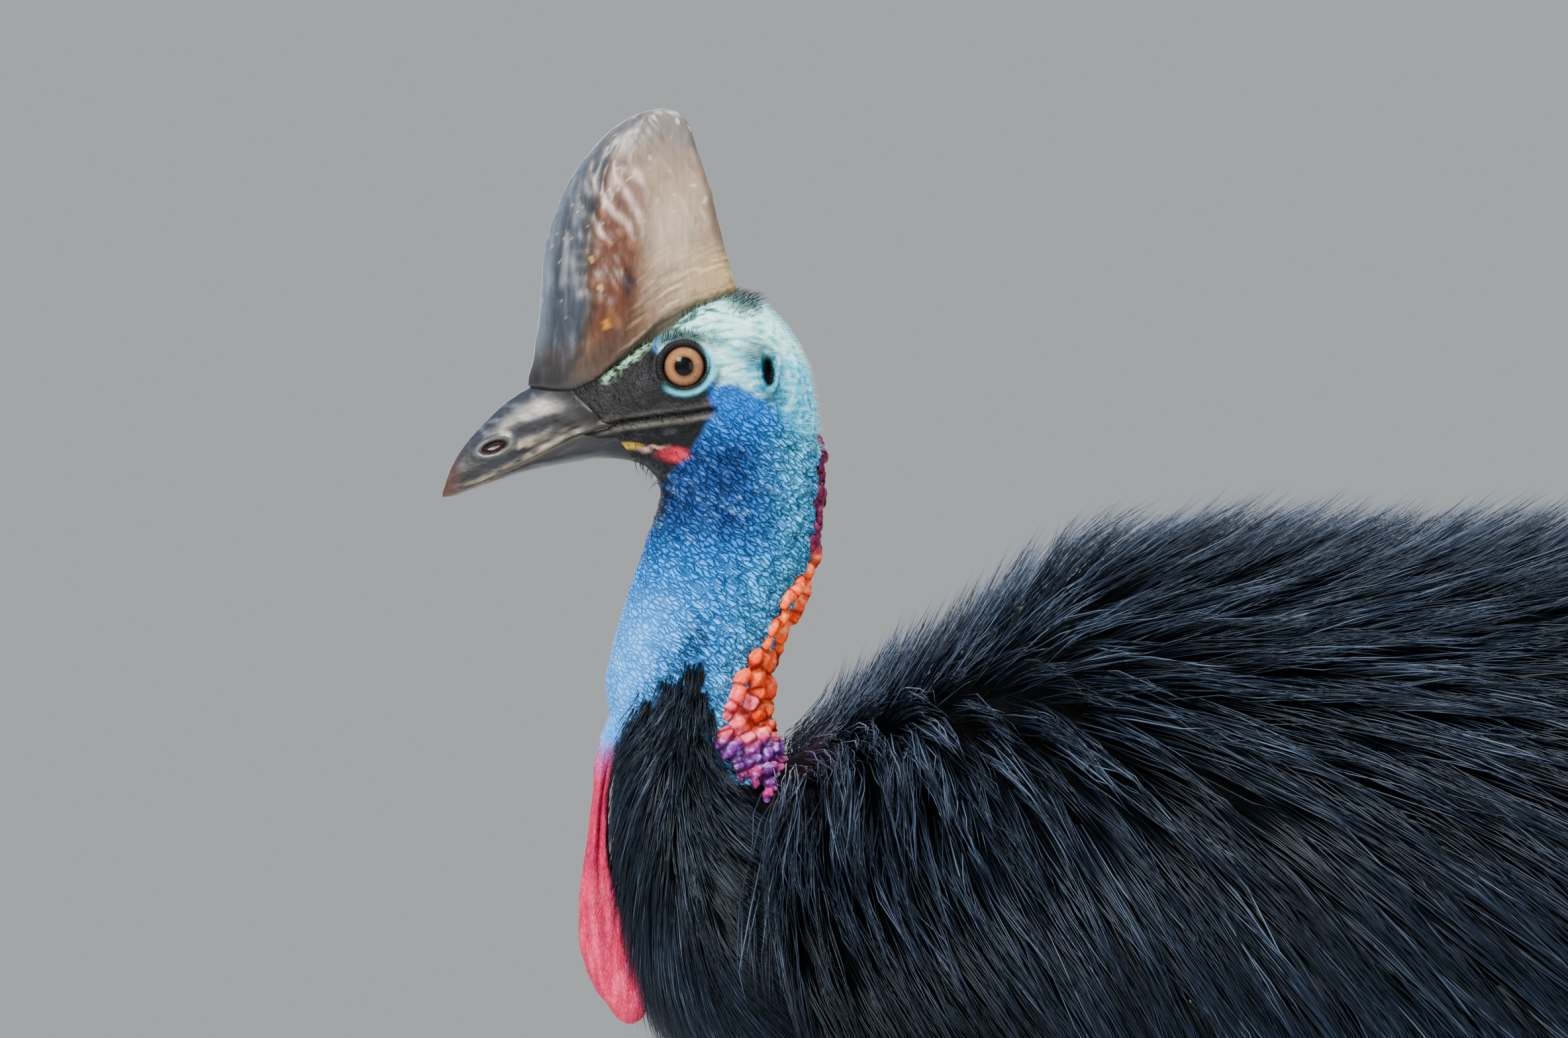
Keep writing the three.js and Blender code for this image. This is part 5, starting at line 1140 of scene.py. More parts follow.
def make_casque():
    """The tall keel of horn, smooth and grey along its front edge and weathered brown behind."""
    levels = np.concatenate([np.linspace(CASQUE_FOOT, 1236, 118), np.linspace(1237, 1243.6, 10),
                             [1245, 1246, CASQUE_TOP]])
    rings = level_rings(casque_curve, levels, 184, 1.9)
    casque = loft("casque_horn", rings)
    points, normals = points_of(casque)
    x, y, z = points.T
    front, back, _ = casque_curve(z)
    share = np.clip((x - front) / np.maximum(back - front, 4), 0, 1)
    above = z - along_edge(CASQUE_EDGE, x)
    side = smoothstep(np.abs(normals[:, 1]), 0.25, 0.7)
    streaks = noise_at(points * (1.0, 1.0, 0.12), 3.4, 51)
    lumps = noise_at(points, 26, 53)
    medium = noise_at(points, 8, 57)
    keel_width = 0.235 + 0.03 * lumps + 0.05 * fall(z, 1090, 1150)
    crease = ridge(share - keel_width, 0.03) * side * smoothstep(above, 4, 18) * fall(z, 1205, 1232)
    growth = noise_at(xyz(0.10 * x, 0, above + 2.0 * lumps + 1.2 * medium), 2.1, 59)
    low_rear = smoothstep(share, 0.42, 0.62) * fall(above, 22, 52)
    wander = np.stack([x + 1.4 * medium, z + 1.4 * noise_at(points, 8, 63)], axis=-1)
    vein = np.zeros(len(points))
    for line in CASQUE_VEINS:
        ends = np.minimum(*(np.linalg.norm(wander - end, axis=1) for end in (line[0], line[-1])))
        thick = 0.9 + 1.3 * smoothstep(ends, 0, 14)
        vein = np.maximum(vein,
                          ridge(from_line(wander, line), thick) * (0.35 + 0.65 * smoothstep(ends, 0, 10)))
    vein *= side * (0.8 + 0.4 * noise_at(points, 5, 65))
    slanted = noise_at(xyz((0.83 * x + 0.55 * z) / 4.2, y / 9, (0.83 * z - 0.55 * x) / 20), 1.0, 67)
    relief = 0.9 * lumps + 0.45 * medium - 1.1 * crease + 0.28 * streaks * (share
                                                                            < 0.4) + 0.38 * growth * low_rear
    relief += 1.1 * vein + 0.75 * slanted * smoothstep(share, 0.28, 0.36)
    sunk = fall(above, -3.5, 0.5)
    points += normals * (relief * (1 - sunk))[:, None]
    points[:, 1] *= 1 - 0.24 * sunk
    points[:, 0] += sunk * fall(share, 0.0, 0.3) * 5.0
    points[:, 2] *= np.minimum(1.0, CASQUE_TOP / np.maximum(points[:, 2], 1))
    move_points(casque, points)
    chips = smoothstep(noise_at(points * (1, 1, 0.8), 4.2, 71), 0.50, 0.60)
    specks = smoothstep(noise_at(points, 2.4, 73), 0.58, 0.66)
    ragged = points + 1.6 * xyz(noise_at(points, 3.2, 75), 0, noise_at(points, 3.2, 77))
    keel = fall(share + 0.02 * medium, keel_width - 0.035, keel_width + 0.025)
    rust = near(points, -487, 1146, 15, 46, 0.4) * (1 - keel) * smoothstep(medium + lumps + 0.4 * slanted,
                                                                           -1.2, -0.2)
    upper_brown = near(points, -487, 1190, 21, 32, 0.6) * (1 - keel)
    colours = layered(
        "#89715c",
        # Painted highlight on the raised lumps
        (smoothstep(lumps, -0.2, 0.5) * 0.4, "#b09a84"),
        (smoothstep(slanted, 0.0, 0.6) * 0.35 * smoothstep(z, 1150, 1180), "#c8b69c"),
        (smoothstep(share, 0.62, 0.95) * smoothstep(above, 48, 5) * 0.85, "#ad9363"),
        (near(ragged, -470, 1185, 34, 40, 0.7) * 0.4, "#7d6a5c"),
        (near(ragged, -452, 1166, 13, 32, 0.8) * 0.25, "#d6c7b0"),
        (smoothstep(medium + 0.5 * slanted, 0.1, 0.7) * 0.3, "#6f5a4a"),
        (upper_brown * 0.8, "#594039"),
        (upper_brown * smoothstep(slanted + 0.5 * medium, 0.0, 0.6) * 0.55, "#8e766f"),
        (near(ragged, -487, 1130, 23, 48, 0.6) * (1 - keel) * 0.9, "#4a2a18"),
        (rust * 0.8, "#4a2313"),
        (rust * smoothstep(slanted + medium, 0.1, 0.8) * 0.6, "#8a5a3c"),
        (near(ragged, -477, 1141, 4, 8, 0.6) * 0.85, "#0b0d15"),
        (keel, "#2e353f"),
        (keel * smoothstep(streaks, 0.0, 0.6) * 0.5, "#6b7480"),
        # Painted highlight along the keel's front edge
        (keel * fall(share, 0.0, 0.09) * 0.7, "#637080"),
        (vein * 0.85, "#c9b0aa"),
        # Painted shade in the crease
        (crease * 0.8, "#1a1716"),
        (low_rear * smoothstep(growth, 0.05, 0.6) * 0.6, "#dcc79b"),
        (low_rear * smoothstep(-growth, 0.1, 0.6) * 0.5, "#5e4930"),
        (smoothstep(z, 1206, 1236) * 0.75, "#56585b"),
        (smoothstep(share, 0.93, 1.0) * smoothstep(z, 1140, 1170) * 0.6, "#40332c"),
        (chips * smoothstep(z, 1150, 1205) * 0.7, "#c2bbae"),
        (specks * (0.2 + 0.6 * keel) * 0.6, "#9a9386"),
        (near(ragged, -490, 1115, 2.4, 2.6) * 0.9, "#b67c14"),
        (near(ragged, -499, 1155, 1.8, 2.6) * 0.7, "#b59a5e"),
        (near(ragged, -494, 1138, 1.4, 2.0) * 0.7, "#b59a5e"),
        # Painted shade along the seam where the casque meets the head
        (fall(above, 0, 7) * 0.6, "#2a231c"),
        (fall(above, 8, 40) * fall(share, 0.4, 0.75) * 0.6, "#3a2a20"),
        (fall(above, 3, 26) * fall(share, 0.25, 0.6) * 0.85, "#1e2024"),
    )
    colours *= (1 + 0.10 * streaks + 0.12 * medium)[:, None]
    paint(casque, "horn_colour", np.clip(colours, 0, 1))
    hand_over(casque, CASQUE_HORN, "casque_horn", "casque")


def make_eyes():
    """Each eye is a ball with a clear bulge over the iris, in a ring of beaded lid."""
    for side, sign in SIDES:
        turn = circle(72)
        tip = np.concatenate([np.linspace(0.02, 1.0, 36), np.linspace(1.05, math.pi - 0.05, 14)])[:, None]
        radius = EYE_RADIUS + 0.55 * ridge(tip, 0.62)
        ball = xyz(EYE_X + radius * np.sin(tip) * np.cos(turn), sign * (EYE_Y - 0.55 + radius * np.cos(tip)),
                   EYE_Z + radius * np.sin(tip) * np.sin(turn))
        eye = loft(f"eye_{side}_wet", ball)
        points, _ = points_of(eye)
        dx, dz = points[:, 0] - EYE_X, points[:, 2] - EYE_Z
        far, angle = np.hypot(dx, dz), np.arctan2(dz, dx)
        paint(eye, "ring", np.where(points[:, 1] * sign > EYE_Y, far / 13.4, 1.0))
        threads = noise_at(xyz(np.cos(angle) * 26, np.sin(angle) * 26, far * 0.5), 1.6, 81)
        paint(eye, "fibre", np.clip(0.5 + 0.6 * threads, 0, 1))
        hand_over(eye, EYE_WET, "eye", f"eye_{side}")
        rings, b = [], circle(12)[:, None]
        for a in circle(150):
            bead = 1 + 0.10 * math.sin(a * 44) + 0.08 * math.sin(a * 9 + 1)
            centre = np.array([EYE_X + 14.6 * 1.03 * math.cos(a),
                               sign * (EYE_Y + 9.6 - 1.2 * abs(math.sin(a)) ** 3),
                               EYE_Z + 14.0 * math.sin(a)])
            outward = np.array([math.cos(a), 0, math.sin(a)])
            rings.append(centre + outward * np.cos(b) * 2.3 * bead
                         + np.array([0, sign, 0]) * np.sin(b) * 2.0 * bead)
        lid = ring_mesh(f"eyelid_{side}", rings)
        beads = np.reshape(rings, (-1, 3))
        dx, dz = beads[:, 0] - EYE_X, beads[:, 2] - EYE_Z
        low = smoothstep(dx - dz, -6, 12)
        paint(lid, "skin_colour",
              layered("#0c0d0f", (smoothstep(np.hypot(dx, dz), 14.2, 15.6) * low * 0.85, "#4fa9b8")))
        hand_over(lid, BARE_SKIN, "bare_skin")


# Folds of the nape and wattles

def blob(centre, sizes, angle, lean):
    """An oval lump on the nape: its sizes outwards, sideways and along, turned to lie on the neck."""
    turn = circle(14)
    tip = np.linspace(0.18, math.pi - 0.18, 9)[:, None]
    x, y, z = np.moveaxis(xyz(sizes[0] * np.sin(tip) * np.cos(turn), sizes[1] * np.sin(tip) * np.sin(turn),
                              sizes[2] * np.cos(tip)), -1, 0)
    c, s = math.cos(lean), math.sin(lean)
    y, z = y * c - z * s, y * s + z * c
    c, s = math.cos(angle), math.sin(angle)
    return loft("blob", xyz(x * c - y * s, x * s + y * c, z) + centre)


NAPE_LOBES = [  # lowest and highest row, step, lobes in a row, their sizes, lean and shaking
    (984, 1048, 5.0, 3, (2.6, 2.8, 5.2), (0.3, 0.8), 1.0),  # crimson knobs
    (914, 984, 9.0, 4, (4.4, 3.4, 9.4), (-0.6, -0.2), 1.4),  # orange rope
    (886, 914, 9.0, 6, (5.6, 4.2, 8.0), (-1.1, -0.3), 2.8),  # fat lobes
    (860, 884, 6.8, 8, (4.8, 3.2, 8.2), (-1.2, -0.7), 1.8),  # smaller lobes, drawn out across
    (818, 858, 5.0, 13, (3.5, 2.8, 4.6), (-1.1, -0.2), 1.6),  # purple beads
]


def nape_lobes(chance):
    """Rows of lobes round the nape, shaken out of line: their forms, places and reaches."""
    lumps, places, reaches = [], [], []
    for lowest, highest, step, wanted, sizes, lean, shake in NAPE_LOBES:
        for z in np.arange(lowest, highest, step):
            spread = float(nape_spread(z)[0])
            for k in np.linspace(-1, 1, wanted):
                angle = k * spread + 0.05 * chance.normal()
                raised = 0.6 + 0.9 * chance.normal() - neck_coat_depth(z) * min(1.0, abs(angle)) ** 2
                own_sizes = np.array(sizes) * chance.uniform(0.72, 1.25)
                place = on_neck(z + shake * chance.normal(), angle, raised)
                lumps.append(blob(place, own_sizes, -angle, (np.sign(k) or 1) * chance.uniform(*lean)))
                places.append(place)
                reaches.append((own_sizes[1] + own_sizes[2]) / 2)
    return lumps, places, reaches


def make_nape():
    """Crimson knobs down the back of the neck, an orange rope of folds, fat lobes and purple beads."""
    chance = np.random.default_rng(11)
    lumps, places, reaches = nape_lobes(chance)
    pad, across = [], np.linspace(-1, 1, 24)
    for z in np.linspace(820, 1044, 90):
        half = np.interp(z, [823, 850, 880, 910, 940, 970, 992, 1044],
                         [0.6, 0.98, 1.02, 0.7, 0.5, 0.26, 0.2, 0.1])
        sunk = neck_coat_depth(z) * across ** 2
        pad.append(np.concatenate([on_neck(z, across * half, 0.4 - sunk),
                                   on_neck(z, -across * half * 0.96, -6.0 - sunk)]))
    folds = fused("nape_folds_skin", [loft("pad", np.array(pad)), *lumps], 1.1, smoothing=1)
    points, normals = points_of(folds)
    # Which lobe a place belongs to, and how deep it lies between two of them
    first, second = np.full(len(points), 1e9), np.full(len(points), 1e9)
    own = np.zeros(len(points), int)
    for k, (place, reach) in enumerate(zip(places, reaches)):
        far = np.linalg.norm(points - place, axis=1) - reach
        second = np.where(far < first, first, np.minimum(second, far))
        own = np.where(far < first, k, own)
        first = np.minimum(first, far)
    valley = fall(second - first, 0.0, 2.0) * smoothstep(first, -3.6, -1.6)
    lobe_hue = chance.uniform(0, 1, len(places))[own]
    fine = noise_at(points, 3.0, 91)
    medium = noise_at(points, 8.0, 93)
    points += normals * (0.5 * fine + 0.3 * medium - 0.5 * valley)[:, None]
    move_points(folds, points)
    z = points[:, 2] + 2 * medium
    front, back = along_edge(NECK_ROWS, z), along_edge(NECK_ROWS, z, 2)
    mid, half = (front + back) / 2, (back - front) / 2
    front_side = smoothstep(-(points[:, 0] - mid) / half + 0.35 * (lobe_hue - 0.5), -0.86, -0.66)
    low = fall(z + 6 * (lobe_hue - 0.5), 860, 872)
    pink = fall(z + 8 * (lobe_hue - 0.5), 892, 908) * (1 - low)
    orange = fall(z, 970, 984)
    highlight_tops = fall(first, -3.4, -0.4)
    # Painted highlights lie on the lobes' tops in pale crimson, orange, pink and lilac, and painted shade
    # darkens the valleys between the lobes
    colours = layered(
        "#5c1034",
        (smoothstep(lobe_hue, 0.3, 0.8) * 0.6, "#8c1f4c"),
        (highlight_tops * smoothstep(fine, -0.2, 0.5) * 0.35, "#a85c86"),
        (orange, "#ee3c04"),
        (orange * lobe_hue * 0.6, "#ff6a18"),
        (orange * highlight_tops * smoothstep(fine, -0.3, 0.4) * 0.7, "#ffac78"),
        (pink * front_side * 0.92, "#ec3a62"),
        (pink * front_side * lobe_hue * 0.6, "#ff7f8f"),
        (pink * front_side * (1 - valley) * smoothstep(fine, 0.0, 0.5) * 0.5, "#ffb9bd"),
        (low * 0.97, "#5b1f7e"),
        (low * smoothstep(lobe_hue, 0.35, 0.75) * 0.7, "#b5296d"),
        (low * (1 - valley) * smoothstep(fine, 0.0, 0.6) * 0.6, "#b79ee6"),
        (valley * 0.75, "#2a0a26"),
        (valley * orange * (1 - low) * 0.85, "#8c1a06"),
    )
    paint(folds, "creased", 0.35 + 0 * fine)
    paint(folds, "skin_colour", np.clip(colours * (1 + 0.1 * fine)[:, None], 0, 1))
    hand_over(folds, FOLD_SKIN, "fold_skin", "nape_folds")


def make_wattles():
    """Two soft flaps hang from the throat side by side, pleated down their length and full at the end."""
    levels = np.concatenate([np.linspace(WATTLE_END, 704, 18), np.linspace(705, WATTLE_ROOT, 98)])
    for side, sign in SIDES:
        rings = level_rings(wattle_curve, levels, 96, NECK_POWER) + (0, sign * WATTLE_OUT, 0)
        wattle = loft(f"wattle_{side}_skin", rings)
        points, normals = points_of(wattle)
        x, _, z = points.T
        pleats = noise_at(points * (1.0, 0.8, 0.13) + (0, sign * 40, 0), 3.4, 101)
        soft = noise_at(points, 17, 103 + sign)
        fine = noise_at(points, 2.6, 107)
        t = np.clip((866 - z) / 150, 0, 1)
        front, back, _ = wattle_curve(z)
        share = (x - front) / np.maximum(back - front, 2)
        fold = ridge(share - 0.3 - 0.1 * np.sin(t * 5), 0.13) * np.sin(math.pi * t)
        valley = ridge(share - 0.58 - 0.08 * np.sin(t * 4 + 1),
                       0.07) * np.sin(math.pi * np.clip(t * 1.1, 0, 1))
        body = smoothstep(z, WATTLE_END, 712) * fall(z, 868, WATTLE_ROOT)
        relief = 0.75 * pleats + 0.8 * soft + 0.2 * fine + 2.0 * fold - 1.4 * valley
        points += normals * (relief * (0.35 + 0.65 * body))[:, None]
        move_points(wattle, points)
        # Painted light on the pleats' crests, and painted shade in their hollows and in the long valley
        colours = layered(
            "#cc2454",
            (smoothstep(pleats, 0.05, 0.5) * 0.5, "#ec5c84"),
            (smoothstep(-pleats, 0.05, 0.5) * 0.65, "#9c1c48"),
            (smoothstep(soft, 0, 0.6) * 0.4, "#e04474"),
            (smoothstep(z, 745, 840) * 0.5, "#a01444"),
            (smoothstep(z + 3 * soft, 836, 862) * 0.7, "#9a5fa8"),
            (smoothstep(z + 3 * soft, 850, 870), "#3f9bf0"),
            (fall(share, 0.0, 0.16) * 0.5, "#a01c3e"),
            (valley * 0.7, "#7a1230"),
            (fall(z, 700, 716) * 0.5, "#b02446"),
        )
        paint(wattle, "creased", 0.45 + 0 * fine)
        paint(wattle, "skin_colour", np.clip(colours * (1 + 0.1 * fine)[:, None], 0, 1))
        hand_over(wattle, WATTLE_SKIN, "wattle_skin", f"wattle_{side}")


# The body under its coat

CORE_FRONT, CORE_BACK = TORSO_FRONT + TORSO_COAT_DEPTH, TORSO_BACK - TORSO_COAT_DEPTH


def core_places(margin, count):
    """Places along the body under its coat, closer towards its round ends."""
    way = np.linspace(margin, math.pi - margin, count)
    return (CORE_FRONT + CORE_BACK) / 2 - (CORE_BACK - CORE_FRONT) / 2 * np.cos(way)


def make_body():
    torso = loft("core", torso_rings(core_places(0.02, 70), 96, TORSO_COAT_DEPTH))
    levels = np.arange(NECK_FOOT, 861, 5.0)
    foot = loft("foot of the neck",
                level_rings(neck_curve, levels, 64, NECK_POWER, NECK_COAT_DEPTH + 0.5 + 0 * levels))
    thighs = [thigh_form("thigh", sign, 0.0, 0.86, THIGH_COAT_DEPTH + 1) for _, sign in SIDES]
    body = fused("skin_body", [torso, foot, *thighs], 11.0, smoothing=2)
    # The body skin is painted black, as painted shade between the strands of the coat
    hand_over(body, UNDERCOAT_SHADE, "plumage", "neck_lower", "torso", "tail", "thigh_left", "thigh_right")


# The coat

def carrier(measure):
    """A form that carries feathers: how to put points on it, and which way is out of it."""

    def on_surface(p):
        level, centre = measure(p)
        return centre + (p - centre) / np.maximum(level, 1e-6)[:, None]

    def outward(p):
        slope = [measure(p + step)[0] - measure(p - step)[0] for step in np.eye(3)]
        return unit(np.stack(slope, axis=-1))

    return on_surface, outward


def torso_measure(p):
    x = np.clip(p[:, 0], CORE_FRONT + 4, CORE_BACK - 4)
    top, bottom, half, widest = torso_section(x)
    v = p[:, 2] - widest
    reach = np.where(v > 0, top - widest, widest - bottom)
    level = (np.abs(p[:, 1] / half) ** TORSO_POWER + np.abs(v / reach) ** TORSO_POWER) ** (1 / TORSO_POWER)
    return level, xyz(p[:, 0], 0, widest)


def neck_measure(p):
    front, back, half = neck_curve(p[:, 2])
    inset = neck_coat_depth(p[:, 2])
    reach = (back - front) / 2 - inset
    middle = (front + back) / 2
    across, along = np.abs(p[:, 1] / (half - inset)), np.abs((p[:, 0] - middle) / reach)
    return (across ** NECK_POWER + along ** NECK_POWER) ** (1 / NECK_POWER), xyz(middle, 0, p[:, 2])


def thigh_measure(sign):
    _, hock, knee = leg_places(sign)
    down = unit(hock - knee)
    side = unit(np.array([0, 1, 0]) - down[1] * down)
    up = np.cross(side, down)

    def measure(p):
        run = (p - knee) @ down
        share = np.clip(run / np.linalg.norm(hock - knee), 0, 1)
        high, wide = thigh_curve(share)
        inset = THIGH_COAT_DEPTH * (1 - share)
        level = np.hypot(((p - knee) @ side) / (wide - inset), ((p - knee) @ up) / (high - inset))
        return level, knee + run[:, None] * down

    return measure, down


# How the coat lies: a place along the bird, then degrees below level at six depths under the line of the back
COAT_DEPTHS = [0, 40, 80, 120, 180, 240]
COAT_SLOPES = [
    (-392, -30, 55, 70, 77, 81, 84), (-300, -45, 5, 46, 62, 74, 80), (-250, -40, -12, 18, 40, 57, 67),
    (-167, -30, -7, 10, 27, 44, 54), (-80, -20, 0, 9, 20, 35, 49), (47, -5, 6, 14, 21, 32, 40),
    (200, 8, 12, 17, 23, 33, 42), (400, 22, 26, 30, 36, 46, 55),
]
BREAST_SLOPES = [(-470, 88), (-430, 80), (-400, 68), (-365, 54), (-330, 49), (-250, 49), (-170, 54)]
BELLY_SLOPE, UNDERNEATH_SLOPE = 90, 6


def under_back(x, z):
    """How far below the line of the back places are."""
    return torso_section(x, 0.0)[0] - z


def torso_lie(p, out):
    """The coat fans out from the shoulder: up over the hump, back along the flank and down at the breast."""
    under = np.maximum(under_back(np.clip(p[:, 0], CORE_FRONT + 4, CORE_BACK - 4), p[:, 2]), 0)
    levels = np.stack([along_edge(COAT_SLOPES, p[:, 0], column) for column in range(1, 7)])
    at = np.interp(under, COAT_DEPTHS, np.arange(6))
    row = np.minimum(at.astype(int), 4)
    who = np.arange(len(p))
    side = lerp(levels[row, who], levels[row + 1, who], at - row)
    side = lerp(side, BELLY_SLOPE, smoothstep(under, 240, 520) * (1 - 0.6 * smoothstep(p[:, 0], 200, 420)))
    breast = fall(p[:, 0], -240, -150) * fall(p[:, 2], 765, 820)
    breast = breast * smoothstep(p[:, 2], 560, 640)
    slope = lerp(side, along_edge(BREAST_SLOPES, p[:, 0]), breast)
    underneath = smoothstep(-out[:, 2], 0.45, 0.8) * fall(p[:, 0], 180, 360)
    slope = np.radians(lerp(slope, UNDERNEATH_SLOPE, underneath))
    return xyz(np.cos(slope), 0, -np.sin(slope))


def neck_lie(p, _):
    """Down the neck, fanning back behind it."""
    fan = np.clip((p[:, 0] + 430 + 29 * fall(p[:, 2], 800, 900)) * 0.018, -0.6, 1.05)
    return unit(xyz(fan, 0, -1))


def trace(form, roots, lengths, lie, hangs=True):
    """Paths along the lie of the coat over a form. Past the rump and below the flank they hang free."""
    on_surface, outward = form
    foot = on_surface(roots)
    out = outward(foot)
    from_below = out[:, 2] < -0.5
    along = lie(foot, out)
    feet, outs, ways = [], [], []
    for step in range(GUIDE_STEPS + 1):
        fresh = outward(foot)
        loose = hangs & (step > 0) & ((foot[:, 0] > CORE_BACK - 40) | (~from_below & (out[:, 2] < -0.5)))
        falling = unit(along + np.array([0, 0, -0.45 * 4 / GUIDE_STEPS]))
        out = np.where(loose[:, None], out, fresh)
        along = np.where(loose[:, None], falling, lie(foot, out))
        along = unit(along - dot(along, out) * out)
        feet.append(foot.copy())
        outs.append(out.copy())
        ways.append(along.copy())
        foot = foot + along * (lengths / GUIDE_STEPS)[:, None]
        foot = np.where(loose[:, None], foot, on_surface(foot))
    return np.stack(feet, 1), np.stack(outs, 1), np.stack(ways, 1)


def strand_points(guides, owner, chance, depth, spread, wide, lengthen, wave, flick, base=-0.3, gather=0.6):
    """Strands of each clump: they start apart, draw together along the clump's path and end in points."""
    feet, outs, ways = guides
    count, t, who = len(owner), STRAND_PLACES, owner[:, None]

    def each(values):
        return np.broadcast_to(values, (count,))[:, None]

    sides = unit(np.cross(outs, ways))
    angle, far = chance.uniform(0, 2 * math.pi, count), np.sqrt(chance.uniform(0, 1, count))
    across = spread * far * np.cos(angle)
    start = 0.09 * (1 + far * np.sin(angle))
    end = np.clip(chance.uniform(*lengthen, count), start + 0.3, 1.0)
    g = start[:, None] + t * (end - start)[:, None]
    at = np.minimum((g * GUIDE_STEPS).astype(int), GUIDE_STEPS - 1)
    part = (g * GUIDE_STEPS - at)[..., None]
    place, out, side = (lerp(values[who, at], values[who, at + 1], part) for values in (feet, outs, sides))
    out, side = unit(out), unit(side)
    phase = each(chance.uniform(0, 2 * math.pi, count))
    turns = each(chance.uniform(0.6, 1.5, count))
    bend = wave * each(chance.normal(0, 1, count)) * np.sin(2 * math.pi * turns * t + phase) * t
    drawn = each(across) * (1 - gather * smoothstep(t, 0.1, 1.0))
    layer = each(chance.uniform(0.5, 1.1, count))
    flicks = each(flick) * each(chance.uniform(0.6, 1.1, count))
    base = each(base)
    base = np.where(base > 0, lerp(-0.3, base, each(chance.uniform(0, 1, count))), base)
    lift = each(depth) * (base + (1 - base) * g ** 0.7) * np.where((g > 0.15) | (base > 0), layer, 1)
    place = place + side * (drawn + bend)[..., None] + out * (lift + flicks * t ** 3)[..., None]
    taper = np.interp(t, [0, 0.28, 0.55, 0.8, 1], [0.8, 1.0, 0.9, 0.62, 0.0])
    return place, out, wide * each(chance.uniform(0.75, 1.2, count)) * taper, g


def write_strands(name, place, out, width, tone, reach, patch):
    """Closed three-sided tapered strands, each with its own small patch on the coat's unwrap."""
    count, rows = place.shape[:2]
    tangent = unit(np.gradient(place, axis=1))
    side = unit(np.cross(out, tangent))
    up = np.cross(tangent, side)
    body, w = place[:, :-1], width[:, :-1, None]
    ring = np.stack([body + side[:, :-1] * w, body + up[:, :-1] * w * 0.8, body - side[:, :-1] * w], axis=2)
    points = np.concatenate([ring.reshape(count, -1, 3), place[:, -1:]], axis=1)
    points = np.clip(points, COAT_LOW, COAT_HIGH)
    each = points.shape[1]
    turned = [(k, (k + 1) % 3) for k in range(3)]
    bands = [(3 * r + k, 3 * r + n, 3 * r + 3 + n, 3 * r + 3 + k) for r in range(rows - 2) for k, n in turned]
    last = 3 * (rows - 2)
    ends = [(last + k, last + n, each - 1) for k, n in turned] + [(2, 1, 0)]
    start = (np.arange(count) * each)[:, None, None]
    piece = mesh_from(name, points.reshape(-1, 3), start + np.array(bands), start + np.array(ends))
    along = np.append(np.repeat(np.linspace(0, 1, rows)[:-1], 3), 1.0)
    across = [0.0, 0.5, 1.0] * (rows - 1) + [0.5]
    uv = (patch[:, None, :] + np.stack([across, along], axis=-1) * 0.003).reshape(-1, 2)
    corners = np.empty(len(piece.data.loops), np.int32)
    piece.data.loops.foreach_get("vertex_index", corners)
    layer = piece.data.uv_layers.new(name="OFBake")
    layer.data.foreach_set("uv", uv[corners].astype(np.float32).ravel())
    paint(piece, "tone", np.repeat(tone, each))
    paint(piece, "reach",
          np.concatenate([np.repeat(reach[:, :-1], 3, axis=1), reach[:, -1:]], axis=1).ravel())
    return piece


def patches(sideways, up, along):
    """Where each strand's patch lies on the unwrap: by its way round the form and its place along it."""
    angle = np.arctan2(sideways, up) / (2 * math.pi) + 0.5
    return np.clip(np.stack([0.02 + 0.95 * angle, 0.02 + along], axis=-1), 0.001, 0.996)


def write_coat(name, strands, tone, patch, order, fewest, nodes, last=()):
    """A coat in numbered pieces, one behind the other."""
    order = np.argsort(order, kind="stable")
    pieces = max(fewest, math.ceil(len(order) / STRAND_PIECE))
    place, out, width, reach = strands
    for k, part in enumerate(np.array_split(order, pieces)):
        piece = write_strands(f"{name}_{k + 1}", place[part], out[part], width[part], tone[part],
                              reach[part], patch[part])
        hand_over(piece, FEATHER, "plumage", *nodes, *(last if k == pieces - 1 else ()))
    return len(order)


def spread_over(rings_at, rows, spacing, chance):
    """Roots spread evenly over a form: along each section in turn, a spacing apart and shaken a little."""
    roots = []
    for k, row in enumerate(rows):
        section = rings_at(row)
        closed = np.vstack([section, section[:1]])
        run = np.concatenate([[0], np.cumsum(np.linalg.norm(np.diff(closed, axis=0), axis=1))])
        count = max(1, int(run[-1] / spacing))
        at = (np.arange(count) + 0.5 * (k % 2)
              + chance.uniform(-0.35, 0.35, count)) * run[-1] / count % run[-1]
        roots.append(np.stack([np.interp(at, run, closed[:, c]) for c in range(3)], axis=-1))
    return np.concatenate(roots)


def evenly_along(places, rings_at, spacing):
    """Places along a form whose sections lie a spacing apart over its surface."""
    rings = [rings_at(place) for place in places]
    gaps = [np.percentile(np.linalg.norm(a - b, axis=1), 60) for a, b in zip(rings, rings[1:])]
    run = np.concatenate([[0], np.cumsum(gaps)])
    return np.interp(np.arange(spacing / 2, run[-1], spacing), run, places)


